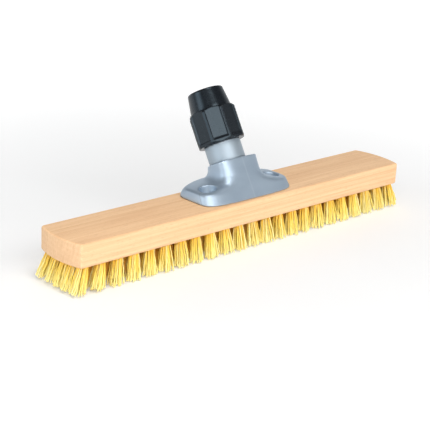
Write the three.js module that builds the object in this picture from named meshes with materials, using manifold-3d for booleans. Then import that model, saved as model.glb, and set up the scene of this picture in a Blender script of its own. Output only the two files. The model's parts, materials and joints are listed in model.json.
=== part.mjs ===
// Floor scrub brush: a beech block set with tufts, and a moulded holder with a clamp for a round handle.
// X runs along the block, the handle leans back towards +Y, Z is up and the bristle tips stand on Z = 0.
import * as THREE from 'three';
import { mergeVertices } from 'three/addons/utils/BufferGeometryUtils.js';
import Module from 'manifold-3d';

const wasm = await Module();
wasm.setup();

// Driving dimensions, in millimetres and degrees.

// Beech block
const BLOCK_LENGTH = 400;
const BLOCK_WIDTH = 56;
const BLOCK_THICKNESS = 21;
const BLOCK_END_BOW = 5; // how far each end bulges past its corners
const BLOCK_CORNER_RADIUS = 3;
const BLOCK_ARRIS = 1.9; // rounding along the edges

// Tufts
const TUFT_ROWS = 5;
const TUFTS_PER_ROW = 23;
const MIDDLE_COLUMNS = 7; // columns of tufts in the middle bristle piece
const TUFT_EDGE = 7; // outer tuft centres to the side of the block
const TUFT_END = 7.5; // end tuft centres to the corners of the block
const BRISTLE_LENGTH = 25;
const TRIM_DEPTH = 0.5; // taken off every tip when the field is trimmed flat
const STRANDS_AROUND = 3; // strands round the middle one of each tuft
const STRAND_ROOT_WIDTH = 2.0;
const STRAND_TIP_WIDTH = 2.4;
const ROOT_SPREAD = 2.9; // radius of the ring of strands where they leave the wood
const TIP_GAP_ALONG = 3.4; // clear space between neighbouring tufts at the tips, along a row
const TIP_GAP_ACROSS = 1.2; // the same, between rows
const SIDE_SPLAY = 2.6; // outward lean of the outer rows, measured at the tips
const END_SPLAY = 7; // outward lean of the end tufts
const END_SPLAY_POWER = 8; // how sharply that lean grows towards the ends
const SLICE_THICKNESS = 4; // slice of the block that carries the tufts

// Handle and clamp
const HANDLE_DIAMETER = 24;
const HANDLE_PLAY = 0.3; // radial play of the handle in its socket
const HANDLE_LEAN = 31.5; // from upright, towards +Y
const THREAD_WALL = 3.6; // barrel wall at the threaded end
const BARREL_STEP = 0.9; // how far the plain barrel stands out past the thread
const SOCKET_FLOOR = 13; // blind end of the socket, along the axis from the block's top
const SHOULDER_AT = 30.6; // top of the neck, along the axis
const BARREL_EXPOSED = 15.8; // plain barrel between the neck and the nut
const THREAD_LENGTH = 27;
const MOUTH_DEPTH = 13; // taper in the barrel's mouth that the collet wedges into
const MOUTH_FLARE = 2.2; // how much wider the mouth is at the rim

// Clamp nut
const NUT_SKIRT = 31.8; // grip ring
const NUT_CAP = 18.8; // tapered cap above it
const GRIP_SIDES = 8;
const GRIP_WALL = 5; // nut bore to the middle of a grip flat
const PANEL_DEPTH = 1.1; // sunk panel in each flat
const RIDGE_WIDTH = 2.4; // ridge left between panels
const NUT_RIM = 3.2; // rim left below the panels
const GRIP_CHAMFER = 2.4;
const CAP_STEP = 2.2; // cap's foot inside the grip flats
const CAP_TAPER = 2.3; // radius lost over the cap
const CAP_LIP = 2; // rounding of the cap's top edge
const NUT_MOUTH_PLAY = 0.6; // radial play of the handle in the nut's mouth
const NUT_MOUTH = 6; // length of the straight mouth above the nut's cone
const NUT_TURN = 6; // how far the nut is turned at rest, in degrees

// Clamp collet
const COLLET_SLOT = 2.2;
const COLLET_NOSE = 10; // length of the cone that enters the barrel
const COLLET_COLLAR = 3; // straight collar between the two cones

// Holder foot and neck
const FOOT_LENGTH = 108;
const FOOT_WIDTH = 49.6;
const FOOT_SQUARENESS = 5; // exponent of the foot's rounded outline
const FOOT_WIDEST = 0.5; // widest place of the foot, as a share of its depth from the front
const FOOT_LIP = 1.2; // upright edge round the foot
const TAB_WALL = 7; // height of the end walls, below their rounded rim
const TAB_WALL_LEAN = 1.6;
const TAB_RIM = 4.7; // rounded rim, measured inwards
const TAB_HEIGHT = 9.6; // rim above the block
const TAB_ROUNDNESS = 2.3; // exponent of the rim's round back corners
const TAB_RISE = 3.5; // slope of the tab's top, up to the neck
const NECK_HALF_WIDTH = 22.8; // at the shoulder
const NECK_FILLET = 9.2; // how far the neck spreads where it meets the tabs
const NECK_FILLET_POWER = 3; // how quickly that spread dies away upwards
const NECK_FRONT_EASE = 1.5; // how the rings of the neck close up at the front, by the tabs
const NECK_WIDEST = 0.25; // widest place of the shoulder, from its front
const SHOULDER_LEDGE = 2.1; // shoulder outside the barrel
const SHOULDER_DROP = 2; // shoulder lower at the front than at the back
const SHOULDER_ROUND = 0.8;
const NECK_SQUARENESS = 3.4; // exponent of the flat front of the neck, with its rounded edges
const NECK_BLEND = 0.5; // share of the neck's rings over which the foot's outline gives way to its own
const NECK_ROUNDNESS = 2; // exponent of its round back

// Screws
const SCREW_INSET = 15; // screw centres to the ends of the foot
const SCREW_FORWARD = 4; // screws in front of the block's middle line
const COUNTERBORE_DIAMETER = 16;
const COUNTERBORE_FLOOR = 3;
const SCREW_DIAMETER = 4.4;
const SCREW_LENGTH = 16;
const SCREW_HEAD_DIAMETER = 9;
const SCREW_HEAD_HEIGHT = 2.8;
const SCREW_POINT = 5;

// Clearances
const SEAT_GAP = 0.3; // between pieces that rest on or fit round one another
const OVERLAP = 1; // how far a cutter or a joined piece runs past the surface it meets

// Facets
const WELD = 1e-4; // corners closer than this are one corner
const ROUND_SEGMENTS = 48;
const HOLDER_SEGMENTS = 48;
const HOLE_SEGMENTS = 24;
const SCREW_SEGMENTS = 20;
const PILOT_SEGMENTS = 16;

// Places that follow from them
const blockBottom = BRISTLE_LENGTH;
const blockTop = blockBottom + BLOCK_THICKNESS;
const lean = THREE.MathUtils.degToRad(HANDLE_LEAN);
const boreRadius = HANDLE_DIAMETER / 2 + HANDLE_PLAY;
const threadRadius = boreRadius + THREAD_WALL;
const barrelRadius = threadRadius + BARREL_STEP;
const neckRadius = barrelRadius + SHOULDER_LEDGE;
const footBase = blockTop + SEAT_GAP;
const footFront = -FOOT_WIDTH / 2;
const axisY = footFront + neckRadius / Math.cos(lean);
const threadStart = SHOULDER_AT + BARREL_EXPOSED;
const barrelTop = threadStart + THREAD_LENGTH;
const nutBottom = threadStart + SEAT_GAP;
const gripTop = nutBottom + NUT_SKIRT;
const nutTop = gripTop + NUT_CAP;
const nutBore = threadRadius + SEAT_GAP;
const nutMouthRadius = HANDLE_DIAMETER / 2 + NUT_MOUTH_PLAY;
// The nut's inner cone and the collet's upper cone run side by side, a seat gap apart.
const coneStart = barrelTop + COLLET_COLLAR + SEAT_GAP;
const coneTop = nutTop - NUT_MOUTH;

// Solids

/** Turns a closed geometry into a solid, with its faces pointing out. */
function solid(geometry) {
  const bare = geometry.clone();
  for (const name of Object.keys(bare.attributes)) {
    if (name !== 'position') bare.deleteAttribute(name);
  }
  const merged = mergeVertices(bare, WELD);
  const place = merged.attributes.position;
  const corners = [];
  let volume = 0;
  const [a, b, c] = [new THREE.Vector3(), new THREE.Vector3(), new THREE.Vector3()];
  for (let i = 0; i < merged.index.count; i += 3) {
    const face = [merged.index.getX(i), merged.index.getX(i + 1), merged.index.getX(i + 2)];
    if (face[0] === face[1] || face[1] === face[2] || face[2] === face[0]) continue;
    corners.push(...face);
    a.fromBufferAttribute(place, face[0]);
    b.fromBufferAttribute(place, face[1]);
    c.fromBufferAttribute(place, face[2]);
    volume += a.dot(b.cross(c));
  }
  if (volume < 0) corners.reverse();
  return new wasm.Manifold(new wasm.Mesh({
    numProp: 3,
    vertProperties: new Float32Array(place.array),
    triVerts: new Uint32Array(corners),
  }));
}

/** Gives a solid back as a geometry. */
function geometryOf(body) {
  const mesh = body.getMesh();
  const geometry = new THREE.BufferGeometry();
  geometry.setAttribute('position', new THREE.BufferAttribute(mesh.vertProperties, 3));
  geometry.setIndex(new THREE.BufferAttribute(mesh.triVerts, 1));
  geometry.computeVertexNormals();
  return geometry;
}

/** Revolves a closed [radius, height] profile about Z. */
function revolve(profile, segments = ROUND_SEGMENTS) {
  const points = profile.map(([radius, height]) => new THREE.Vector2(radius, height));
  const geometry = new THREE.LatheGeometry(points, segments);
  return geometry.rotateX(Math.PI / 2);
}

/** A box given by its lowest and highest corners. */
function box(low, high) {
  const size = high.map((value, i) => value - low[i]);
  const geometry = new THREE.BoxGeometry(...size);
  return geometry.translate(...low.map((value, i) => value + size[i] / 2));
}

/** Skins a stack of rings that have equal numbers of points, and closes both ends. */
function loft(rings) {
  const count = rings[0].length;
  const positions = [];
  const faces = [];
  for (const ring of rings) {
    for (const point of ring) positions.push(point.x, point.y, point.z);
  }
  for (let r = 0; r + 1 < rings.length; r += 1) {
    for (let i = 0; i < count; i += 1) {
      const next = (i + 1) % count;
      const [low, high] = [r * count, (r + 1) * count];
      faces.push(low + i, low + next, high + next, low + i, high + next, high + i);
    }
  }
  const last = (rings.length - 1) * count;
  for (let i = 1; i + 1 < count; i += 1) {
    faces.push(0, i + 1, i, last, last + i, last + i + 1);
  }
  const geometry = new THREE.BufferGeometry();
  geometry.setAttribute('position', new THREE.Float32BufferAttribute(positions, 3));
  geometry.setIndex(faces);
  return geometry;
}

/** Moves a shape made along the handle's axis (Z = 0 on the block's top) to its leaning place. */
function alongHandle(geometry) {
  const place = new THREE.Matrix4().makeRotationX(-lean);
  place.setPosition(0, axisY, blockTop);
  return geometry.applyMatrix4(place);
}

function named(name, geometry, finish) {
  const mesh = new THREE.Mesh(geometry, new THREE.MeshStandardMaterial(finish));
  mesh.name = name;
  return mesh;
}

// Finishes
const beech = { color: '#e6bf96', roughness: 0.6, metalness: 0 };
const bristle = { color: '#e9c45c', roughness: 0.5, metalness: 0 };
const greyMoulding = { color: '#a3b4c1', roughness: 0.38, metalness: 0.15 };
const blackMoulding = { color: '#2b2f34', roughness: 0.35, metalness: 0 };
const paleNylon = { color: '#d8d6cc', roughness: 0.45, metalness: 0 };
const zincSteel = { color: '#b7bbbf', roughness: 0.35, metalness: 0.9 };

// Tuft layout
const cornerX = BLOCK_LENGTH / 2 - BLOCK_END_BOW;
const fieldHalfLength = cornerX - TUFT_END;
const fieldHalfWidth = BLOCK_WIDTH / 2 - TUFT_EDGE;
const columnPitch = (2 * fieldHalfLength) / (TUFTS_PER_ROW - 1);
const rowPitch = (2 * fieldHalfWidth) / (TUFT_ROWS - 1);
const sliceMargin = ROOT_SPREAD + STRAND_ROOT_WIDTH;
const sliceHalfLength = fieldHalfLength + sliceMargin;
const sliceHalfWidth = fieldHalfWidth + sliceMargin;
const sliceTop = blockBottom + SLICE_THICKNESS;
const pocketTop = sliceTop + SEAT_GAP;

// Screw places
const screwSeat = footBase + COUNTERBORE_FLOOR + SEAT_GAP;
const screwEnd = screwSeat - SCREW_LENGTH;
const screwX = FOOT_LENGTH / 2 - SCREW_INSET;
const screwPlaces = {
  left: [-screwX, -SCREW_FORWARD],
  right: [screwX, -SCREW_FORWARD],
};

/** The block's outline: straight sides, bowed ends and small rounded corners. */
function blockOutline() {
  const half = BLOCK_WIDTH / 2;
  const endRadius = (half ** 2 + BLOCK_END_BOW ** 2) / (2 * BLOCK_END_BOW);
  const endCentre = BLOCK_LENGTH / 2 - endRadius;
  const roundY = half - BLOCK_CORNER_RADIUS;
  const reach = endRadius - BLOCK_CORNER_RADIUS;
  const roundX = endCentre + Math.sqrt(reach ** 2 - roundY ** 2);
  const turn = Math.asin(roundY / reach);
  const quarter = Math.PI / 2;
  const shape = new THREE.Shape();
  shape.moveTo(-roundX, -half);
  shape.lineTo(roundX, -half);
  shape.absarc(roundX, -roundY, BLOCK_CORNER_RADIUS, -quarter, -turn, false);
  shape.absarc(endCentre, 0, endRadius, -turn, turn, false);
  shape.absarc(roundX, roundY, BLOCK_CORNER_RADIUS, turn, quarter, false);
  shape.lineTo(-roundX, half);
  shape.absarc(-roundX, roundY, BLOCK_CORNER_RADIUS, quarter, Math.PI - turn, false);
  shape.absarc(-endCentre, 0, endRadius, Math.PI - turn, Math.PI + turn, false);
  shape.absarc(-roundX, -roundY, BLOCK_CORNER_RADIUS, Math.PI + turn, 3 * quarter, false);
  return shape;
}

/** Beech block: rounded arrises, a pocket below for the tufted slices and pilot holes for the screws. */
function woodBlock() {
  const geometry = new THREE.ExtrudeGeometry(blockOutline(), {
    depth: BLOCK_THICKNESS - 2 * BLOCK_ARRIS,
    bevelThickness: BLOCK_ARRIS,
    bevelSize: BLOCK_ARRIS,
    bevelOffset: -BLOCK_ARRIS,
    bevelSegments: 2,
    curveSegments: 8,
  });
  let body = solid(geometry.translate(0, 0, blockBottom + BLOCK_ARRIS));
  const [pocketX, pocketY] = [sliceHalfLength + SEAT_GAP, sliceHalfWidth + SEAT_GAP];
  const pocketLow = [-pocketX, -pocketY, blockBottom - OVERLAP];
  body = body.subtract(solid(box(pocketLow, [pocketX, pocketY, pocketTop])));
  const pilotRadius = SCREW_DIAMETER / 2 + SEAT_GAP;
  const pilotEnd = screwEnd - SEAT_GAP;
  for (const [x, y] of Object.values(screwPlaces)) {
    const pilot = revolve([
      [0, pilotEnd],
      [pilotRadius, pilotEnd + SCREW_POINT],
      [pilotRadius, blockTop + OVERLAP],
      [0, blockTop + OVERLAP],
    ], PILOT_SEGMENTS);
    body = body.subtract(solid(pilot.translate(x, y, 0)));
  }
  return named('wood_block', geometryOf(body), beech);
}

/** One four-sided strand from inside the slice down to its tip. */
function strand(root, tip, heading) {
  const corner = (centre, width, z, k) => {
    const angle = heading + Math.PI / 4 + (k * Math.PI) / 2;
    const reach = (width / 2) * Math.SQRT2;
    return new THREE.Vector3(centre.x + reach * Math.cos(angle), centre.y + reach * Math.sin(angle), z);
  };
  const sides = [0, 1, 2, 3];
  return loft([
    sides.map((k) => corner(tip, STRAND_TIP_WIDTH, -TRIM_DEPTH, k)),
    sides.map((k) => corner(root, STRAND_ROOT_WIDTH, blockBottom + OVERLAP, k)),
  ]);
}

/** The strands of one tuft: one in the middle and a ring that spreads towards the tips. */
function tuft(column, row) {
  const across = (2 * row) / (TUFT_ROWS - 1);
  const along = (2 * column) / (TUFTS_PER_ROW - 1);
  const root = new THREE.Vector2(column * columnPitch, row * rowPitch);
  const endSplay = END_SPLAY * Math.sign(along) * Math.abs(along) ** END_SPLAY_POWER;
  const sideSplay = SIDE_SPLAY * across * Math.abs(across);
  const tip = new THREE.Vector2(root.x + endSplay, root.y + sideSplay);
  const spreadX = (columnPitch - TIP_GAP_ALONG - STRAND_TIP_WIDTH) / 2;
  const spreadY = (rowPitch - TIP_GAP_ACROSS - STRAND_TIP_WIDTH) / 2;
  const goldenAngle = Math.PI * (3 - Math.sqrt(5));
  const start = goldenAngle * (column * TUFT_ROWS + row);
  const strands = [strand(root, tip, 0)];
  for (let k = 0; k < STRANDS_AROUND; k += 1) {
    const angle = start + (2 * Math.PI * k) / STRANDS_AROUND;
    const [x, y] = [Math.cos(angle), Math.sin(angle)];
    const strandRoot = new THREE.Vector2(root.x + ROOT_SPREAD * x, root.y + ROOT_SPREAD * y);
    const strandTip = new THREE.Vector2(tip.x + spreadX * x, tip.y + spreadY * y);
    strands.push(strand(strandRoot, strandTip, angle));
  }
  return strands;
}

/** The tufts from one column to another, fused to their slice of the block and trimmed flat. */
function bristlePiece(name, first, last) {
  const edge = Math.floor(TUFTS_PER_ROW / 2);
  const low = first === -edge ? -sliceHalfLength : (first - 0.5) * columnPitch + SEAT_GAP / 2;
  const high = last === edge ? sliceHalfLength : (last + 0.5) * columnPitch - SEAT_GAP / 2;
  let body = solid(box([low, -sliceHalfWidth, blockBottom], [high, sliceHalfWidth, sliceTop]));
  const outerRow = Math.floor(TUFT_ROWS / 2);
  for (let column = first; column <= last; column += 1) {
    for (let row = -outerRow; row <= outerRow; row += 1) {
      for (const geometry of tuft(column, row)) body = body.add(solid(geometry));
    }
  }
  const [x, y] = [BLOCK_LENGTH, BLOCK_WIDTH];
  body = body.subtract(solid(box([-x, -y, -BRISTLE_LENGTH], [x, y, 0])));
  return named(name, geometryOf(body), bristle);
}

/** A point of the side view, [y, z], from its place along the handle's axis and in front of it. */
function besideAxis(along, forward) {
  return [
    axisY + along * Math.sin(lean) - forward * Math.cos(lean),
    blockTop + along * Math.cos(lean) + forward * Math.sin(lean),
  ];
}

/** A ring of the holder, flat at the front and rounder at the back, between two points of the side view. */
function holderRing({ front, back, halfWidth, widest, squareFront, squareBack }) {
  const points = [];
  for (let i = 0; i < HOLDER_SEGMENTS; i += 1) {
    const angle = (2 * Math.PI * i) / HOLDER_SEGMENTS;
    const [c, s] = [Math.cos(angle), Math.sin(angle)];
    const power = 2 / (s < 0 ? squareFront : squareBack);
    const x = halfWidth * Math.sign(c) * Math.abs(c) ** power;
    const reach = Math.sign(s) * Math.abs(s) ** power;
    const depth = widest + reach * (s < 0 ? widest : 1 - widest);
    const y = THREE.MathUtils.lerp(front[0], back[0], depth);
    const z = THREE.MathUtils.lerp(front[1], back[1], depth);
    points.push(new THREE.Vector3(x, y, z));
  }
  return points;
}

/** Foot, tabs and neck as one skin, whose front is a single leaning plane from foot to shoulder. */
function holderSkin() {
  const frontAt = (z) => [footFront + (z - blockTop) * Math.tan(lean), z];
  const backWall = footFront + FOOT_WIDTH;
  const backLine = axisY + neckRadius / Math.cos(lean);
  const backAt = (z) => [Math.max(backWall, backLine + (z - blockTop) * Math.tan(lean)), z];
  const { lerp } = THREE.MathUtils;
  const foot = (height, inset) => ({
    front: frontAt(footBase + height),
    back: backAt(footBase + height),
    halfWidth: FOOT_LENGTH / 2 - inset,
    widest: FOOT_WIDEST,
    squareFront: FOOT_SQUARENESS,
    squareBack: lerp(FOOT_SQUARENESS, TAB_ROUNDNESS, (height / TAB_HEIGHT) ** 2),
  });
  const rings = [foot(0, 0), foot(FOOT_LIP, 0), foot(TAB_WALL, TAB_WALL_LEAN)];
  const rimSteps = 3;
  for (let i = 1; i <= rimSteps; i += 1) {
    const turn = (i / rimSteps) * (Math.PI / 2);
    const height = TAB_WALL + (TAB_HEIGHT - TAB_WALL) * Math.sin(turn);
    rings.push(foot(height, TAB_WALL_LEAN + TAB_RIM * (1 - Math.cos(turn))));
  }
  const neckSteps = 8;
  const neckFront = footBase + TAB_HEIGHT + TAB_RISE;
  const shoulderFront = besideAxis(SHOULDER_AT - SHOULDER_DROP - SHOULDER_ROUND, neckRadius);
  const shoulderBack = besideAxis(SHOULDER_AT - SHOULDER_ROUND, -neckRadius);
  for (let i = 0; i <= neckSteps; i += 1) {
    const s = i / neckSteps;
    rings.push({
      front: frontAt(lerp(neckFront, shoulderFront[1], s ** NECK_FRONT_EASE)),
      back: backAt(lerp(footBase + TAB_HEIGHT, shoulderBack[1], s)),
      halfWidth: NECK_HALF_WIDTH + NECK_FILLET * (1 - s) ** NECK_FILLET_POWER,
      widest: lerp(FOOT_WIDEST, NECK_WIDEST, s),
      squareFront: lerp(FOOT_SQUARENESS, NECK_SQUARENESS, Math.min(1, s / NECK_BLEND)),
      squareBack: lerp(TAB_ROUNDNESS, NECK_ROUNDNESS, s),
    });
  }
  const roundSteps = 2;
  for (let i = 1; i <= roundSteps; i += 1) {
    const turn = (i / roundSteps) * (Math.PI / 2);
    const inset = SHOULDER_ROUND * (1 - Math.cos(turn));
    const along = SHOULDER_AT - SHOULDER_ROUND * (1 - Math.sin(turn));
    rings.push({
      front: besideAxis(along - SHOULDER_DROP, neckRadius - inset),
      back: besideAxis(along, inset - neckRadius),
      halfWidth: NECK_HALF_WIDTH - inset,
      widest: NECK_WIDEST,
      squareFront: NECK_SQUARENESS,
      squareBack: NECK_ROUNDNESS,
    });
  }
  return loft(rings.map(holderRing));
}

/** Holder: the skin joined to the barrel, then bored for the handle and the screws. */
function handleHolder() {
  const inNeck = SOCKET_FLOOR + OVERLAP;
  const barrel = revolve([
    [0, inNeck],
    [barrelRadius, inNeck],
    [barrelRadius, threadStart],
    [threadRadius, threadStart],
    [threadRadius, barrelTop],
    [0, barrelTop],
  ]);
  const socket = revolve([
    [0, SOCKET_FLOOR],
    [boreRadius, SOCKET_FLOOR],
    [boreRadius, barrelTop - MOUTH_DEPTH],
    [boreRadius + MOUTH_FLARE, barrelTop],
    [boreRadius + MOUTH_FLARE, barrelTop + OVERLAP],
    [0, barrelTop + OVERLAP],
  ]);
  let body = solid(holderSkin()).add(solid(alongHandle(barrel))).subtract(solid(alongHandle(socket)));
  const holeRadius = SCREW_DIAMETER / 2 + SEAT_GAP;
  const floor = footBase + COUNTERBORE_FLOOR;
  const clear = footBase + TAB_HEIGHT + COUNTERBORE_DIAMETER;
  for (const [x, y] of Object.values(screwPlaces)) {
    const hole = revolve([
      [0, footBase - OVERLAP],
      [holeRadius, footBase - OVERLAP],
      [holeRadius, floor],
      [COUNTERBORE_DIAMETER / 2, floor],
      [COUNTERBORE_DIAMETER / 2, clear],
      [0, clear],
    ], HOLE_SEGMENTS);
    body = body.subtract(solid(hole.translate(x, y, 0)));
  }
  return named('handle_holder', geometryOf(body), greyMoulding);
}

/** A wood screw with a domed head, standing on the floor of its hole. */
function holderScrew(side) {
  const [x, y] = screwPlaces[side];
  const headRadius = SCREW_HEAD_DIAMETER / 2;
  const shankRadius = SCREW_DIAMETER / 2;
  const dome = SCREW_HEAD_HEIGHT / 2;
  const profile = [
    [0, screwEnd],
    [shankRadius, screwEnd + SCREW_POINT],
    [shankRadius, screwSeat],
    [headRadius, screwSeat],
  ];
  const domeSteps = 4;
  for (let i = 0; i <= domeSteps; i += 1) {
    const turn = (i / domeSteps) * (Math.PI / 2);
    profile.push([headRadius * Math.cos(turn), screwSeat + dome + dome * Math.sin(turn)]);
  }
  const geometry = geometryOf(solid(revolve(profile, SCREW_SEGMENTS)));
  return named(`holder_screw_${side}`, geometry.translate(x, y, 0), zincSteel);
}

/** A regular polygon whose flats lie at the given distance from its middle. */
function polygon(sides, flat) {
  const shape = new THREE.Shape();
  const corner = flat / Math.cos(Math.PI / sides);
  for (let i = 0; i < sides; i += 1) {
    const angle = (2 * Math.PI * (i + 0.5)) / sides;
    const [x, y] = [corner * Math.cos(angle), corner * Math.sin(angle)];
    if (i === 0) shape.moveTo(x, y);
    else shape.lineTo(x, y);
  }
  shape.closePath();
  return shape;
}

/** Clamp nut: a grip ring with sunk panels under a tapered cap, bored for thread, collet and handle. */
function clampNut() {
  const gripFlat = nutBore + GRIP_WALL;
  const gripCorner = gripFlat / Math.cos(Math.PI / GRIP_SIDES);
  const capFoot = gripFlat - CAP_STEP;
  const prism = new THREE.ExtrudeGeometry(polygon(GRIP_SIDES, gripFlat), {
    depth: NUT_SKIRT,
    bevelEnabled: false,
  });
  const chamfered = revolve([
    [0, nutBottom],
    [gripCorner - GRIP_CHAMFER / 2, nutBottom],
    [gripCorner, nutBottom + GRIP_CHAMFER / 2],
    [gripCorner, gripTop - GRIP_CHAMFER],
    [gripCorner - GRIP_CHAMFER, gripTop],
    [0, gripTop],
  ]);
  const capTop = capFoot - CAP_TAPER;
  const capProfile = [[0, gripTop - OVERLAP], [capFoot, gripTop - OVERLAP], [capFoot, gripTop]];
  const lipSteps = 4;
  for (let i = 0; i <= lipSteps; i += 1) {
    const turn = (i / lipSteps) * (Math.PI / 2);
    capProfile.push([capTop - CAP_LIP * (1 - Math.cos(turn)), nutTop - CAP_LIP * (1 - Math.sin(turn))]);
  }
  capProfile.push([0, nutTop]);
  let body = solid(prism.translate(0, 0, nutBottom)).intersect(solid(chamfered));
  body = body.add(solid(revolve(capProfile)));
  const flatWidth = 2 * gripFlat * Math.tan(Math.PI / GRIP_SIDES);
  const panelHalf = (flatWidth - RIDGE_WIDTH) / 2;
  for (let i = 0; i < GRIP_SIDES; i += 1) {
    const low = [gripFlat - PANEL_DEPTH, -panelHalf, nutBottom + NUT_RIM];
    const panel = box(low, [gripCorner + OVERLAP, panelHalf, gripTop]);
    body = body.subtract(solid(panel.rotateZ((2 * Math.PI * i) / GRIP_SIDES)));
  }
  const bore = revolve([
    [0, nutBottom - OVERLAP],
    [nutBore, nutBottom - OVERLAP],
    [nutBore, coneStart],
    [nutMouthRadius, coneTop],
    [nutMouthRadius, nutTop + OVERLAP],
    [0, nutTop + OVERLAP],
  ]);
  return named('clamp_nut', geometryOf(body.subtract(solid(bore))), blackMoulding);
}

/** Clamp collet: a split ring with a nose cone for the barrel's mouth and an upper cone for the nut. */
function clampCollet() {
  const mouthSlope = MOUTH_FLARE / MOUTH_DEPTH;
  const nutSlope = (nutBore - nutMouthRadius) / (coneTop - coneStart);
  const noseAtRim = boreRadius + MOUTH_FLARE - SEAT_GAP;
  const collar = barrelTop + COLLET_COLLAR;
  const collarRadius = nutBore - SEAT_GAP;
  const coneLength = coneTop - coneStart - SEAT_GAP;
  const ring = revolve([
    [boreRadius, barrelTop - COLLET_NOSE],
    [noseAtRim - mouthSlope * COLLET_NOSE, barrelTop - COLLET_NOSE],
    [noseAtRim, barrelTop],
    [noseAtRim, barrelTop + SEAT_GAP],
    [collarRadius, barrelTop + SEAT_GAP],
    [collarRadius, collar],
    [collarRadius - nutSlope * coneLength, collar + coneLength],
    [boreRadius, collar + coneLength],
    [boreRadius, barrelTop - COLLET_NOSE],
  ]);
  const half = COLLET_SLOT / 2;
  const slot = box([-half, 0, 0], [half, nutBore + OVERLAP, nutTop]);
  return named('clamp_collet', geometryOf(solid(ring).subtract(solid(slot))), paleNylon);
}

// Assembly
const brush = new THREE.Group();
const edgeColumn = Math.floor(TUFTS_PER_ROW / 2);
const middleColumn = Math.floor(MIDDLE_COLUMNS / 2);
brush.add(
  woodBlock(),
  bristlePiece('bristles_left', -edgeColumn, -middleColumn - 1),
  bristlePiece('bristles_middle', -middleColumn, middleColumn),
  bristlePiece('bristles_right', middleColumn + 1, edgeColumn),
  handleHolder(),
  holderScrew('left'),
  holderScrew('right'),
);

// The nut and collet turn and slide on the handle's axis.
const clamp = new THREE.Group();
clamp.position.set(0, axisY, blockTop);
clamp.rotation.x = -lean;
const nut = clampNut();
nut.rotation.z = THREE.MathUtils.degToRad(NUT_TURN);
clamp.add(clampCollet(), nut);
brush.add(clamp);

export default brush;
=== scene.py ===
# %% [markdown]
# # A floor scrub brush
#
# The brush is a beech block with rows of stiff yellow tufts below it. A grey moulded holder is screwed on
# top, and a black clamp nut on the holder's barrel closes a split collet round the broom handle. The packed
# model gives the frame: where each piece sits and what it moves with. The lesson dresses that frame, one
# piece at a time.

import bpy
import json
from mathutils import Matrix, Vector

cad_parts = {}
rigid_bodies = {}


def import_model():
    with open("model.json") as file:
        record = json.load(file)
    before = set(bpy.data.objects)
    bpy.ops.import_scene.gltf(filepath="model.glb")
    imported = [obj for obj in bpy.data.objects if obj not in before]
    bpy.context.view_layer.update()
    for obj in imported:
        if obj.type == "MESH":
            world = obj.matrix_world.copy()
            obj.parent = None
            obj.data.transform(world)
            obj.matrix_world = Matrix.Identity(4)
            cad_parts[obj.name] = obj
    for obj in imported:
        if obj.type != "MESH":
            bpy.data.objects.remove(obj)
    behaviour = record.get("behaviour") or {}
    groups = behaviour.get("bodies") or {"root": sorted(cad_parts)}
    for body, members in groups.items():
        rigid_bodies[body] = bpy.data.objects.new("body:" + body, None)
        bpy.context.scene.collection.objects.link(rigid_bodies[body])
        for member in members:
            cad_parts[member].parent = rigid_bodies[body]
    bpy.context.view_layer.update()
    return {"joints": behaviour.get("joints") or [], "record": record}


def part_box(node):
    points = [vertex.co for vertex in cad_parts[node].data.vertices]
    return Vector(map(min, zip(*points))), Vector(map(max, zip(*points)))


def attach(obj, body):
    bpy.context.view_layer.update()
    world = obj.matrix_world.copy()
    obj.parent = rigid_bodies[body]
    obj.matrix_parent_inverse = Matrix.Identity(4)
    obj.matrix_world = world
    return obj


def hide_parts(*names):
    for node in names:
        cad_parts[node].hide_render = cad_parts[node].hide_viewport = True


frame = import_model()

# %% Imports, units and the scene
import json
import math

import bpy
import numpy as np
from mathutils import Matrix, Vector

MM = 0.001
scene = bpy.context.scene
scene.view_settings.view_transform = "Standard"


def shown(name, data):
    """A new object in the scene."""
    made = bpy.data.objects.new(name, data)
    scene.collection.objects.link(made)
    return made


print("Blender", bpy.app.version_string)

# %% [markdown]
# ## Camera
#
# A camera can be placed by eye, but the block is a plain box of known length, so its corners fix the
# camera. The heading, dip and roll below put those corners where the photograph has them, and a long lens
# keeps the block's edges almost parallel.

# %% Camera
CAMERA_PLACE = Vector((-770.5, -779.6, 411.6)) * MM
CAMERA_HEADING = math.radians(43.73)  # from +Y towards +X
CAMERA_DIP = math.radians(19.56)
CAMERA_ROLL = math.radians(3.05)
FOCAL_PIXELS = 1274.5
FRAME_PIXELS = 430
SENSOR = 36

camera = bpy.data.cameras.new("photo_camera")
camera.sensor_width = SENSOR
camera.lens = SENSOR * FOCAL_PIXELS / FRAME_PIXELS
camera_object = shown("photo_camera", camera)
heading = Matrix.Rotation(-CAMERA_HEADING, 4, "Z")
dip = Matrix.Rotation(math.pi / 2 - CAMERA_DIP, 4, "X")
roll = Matrix.Rotation(CAMERA_ROLL, 4, "Z")
camera_object.matrix_world = Matrix.Translation(CAMERA_PLACE) @ heading @ dip @ roll
scene.camera = camera_object
print("lens:", round(camera.lens, 1), "mm")

# %% [markdown]
# ## The clamp's axis
#
# The barrel, the collet and the nut share one leaning axis. The record gives its direction with the nut's
# joint, and the floor of the handle's socket is a mount, so both are read from the frame. Shapes are made
# upright, with heights measured along the axis from the block's top, and then leaned into place.

# %% The clamp's axis
block_low, block_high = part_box("wood_block")
mounts = {mount["name"]: mount for mount in frame["record"]["mounts"]}
nut_joint = next(joint for joint in frame["joints"] if joint["name"] == "nut_turn")
axis = Vector(nut_joint["axis"]).normalized()
socket_floor = Vector(mounts["handle_seat"]["pos_m"])
SOCKET_FLOOR = (socket_floor.z - block_high.z) / axis.z
axis_foot = socket_floor - axis * SOCKET_FLOOR
lean = math.atan2(axis.y, axis.z)
to_axis = Matrix.Translation(axis_foot) @ Matrix.Rotation(-lean, 4, "X")
print("lean:", round(math.degrees(lean), 2), "degrees")
print("socket floor:", round(SOCKET_FLOOR / MM, 2), "mm up the axis")

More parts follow.
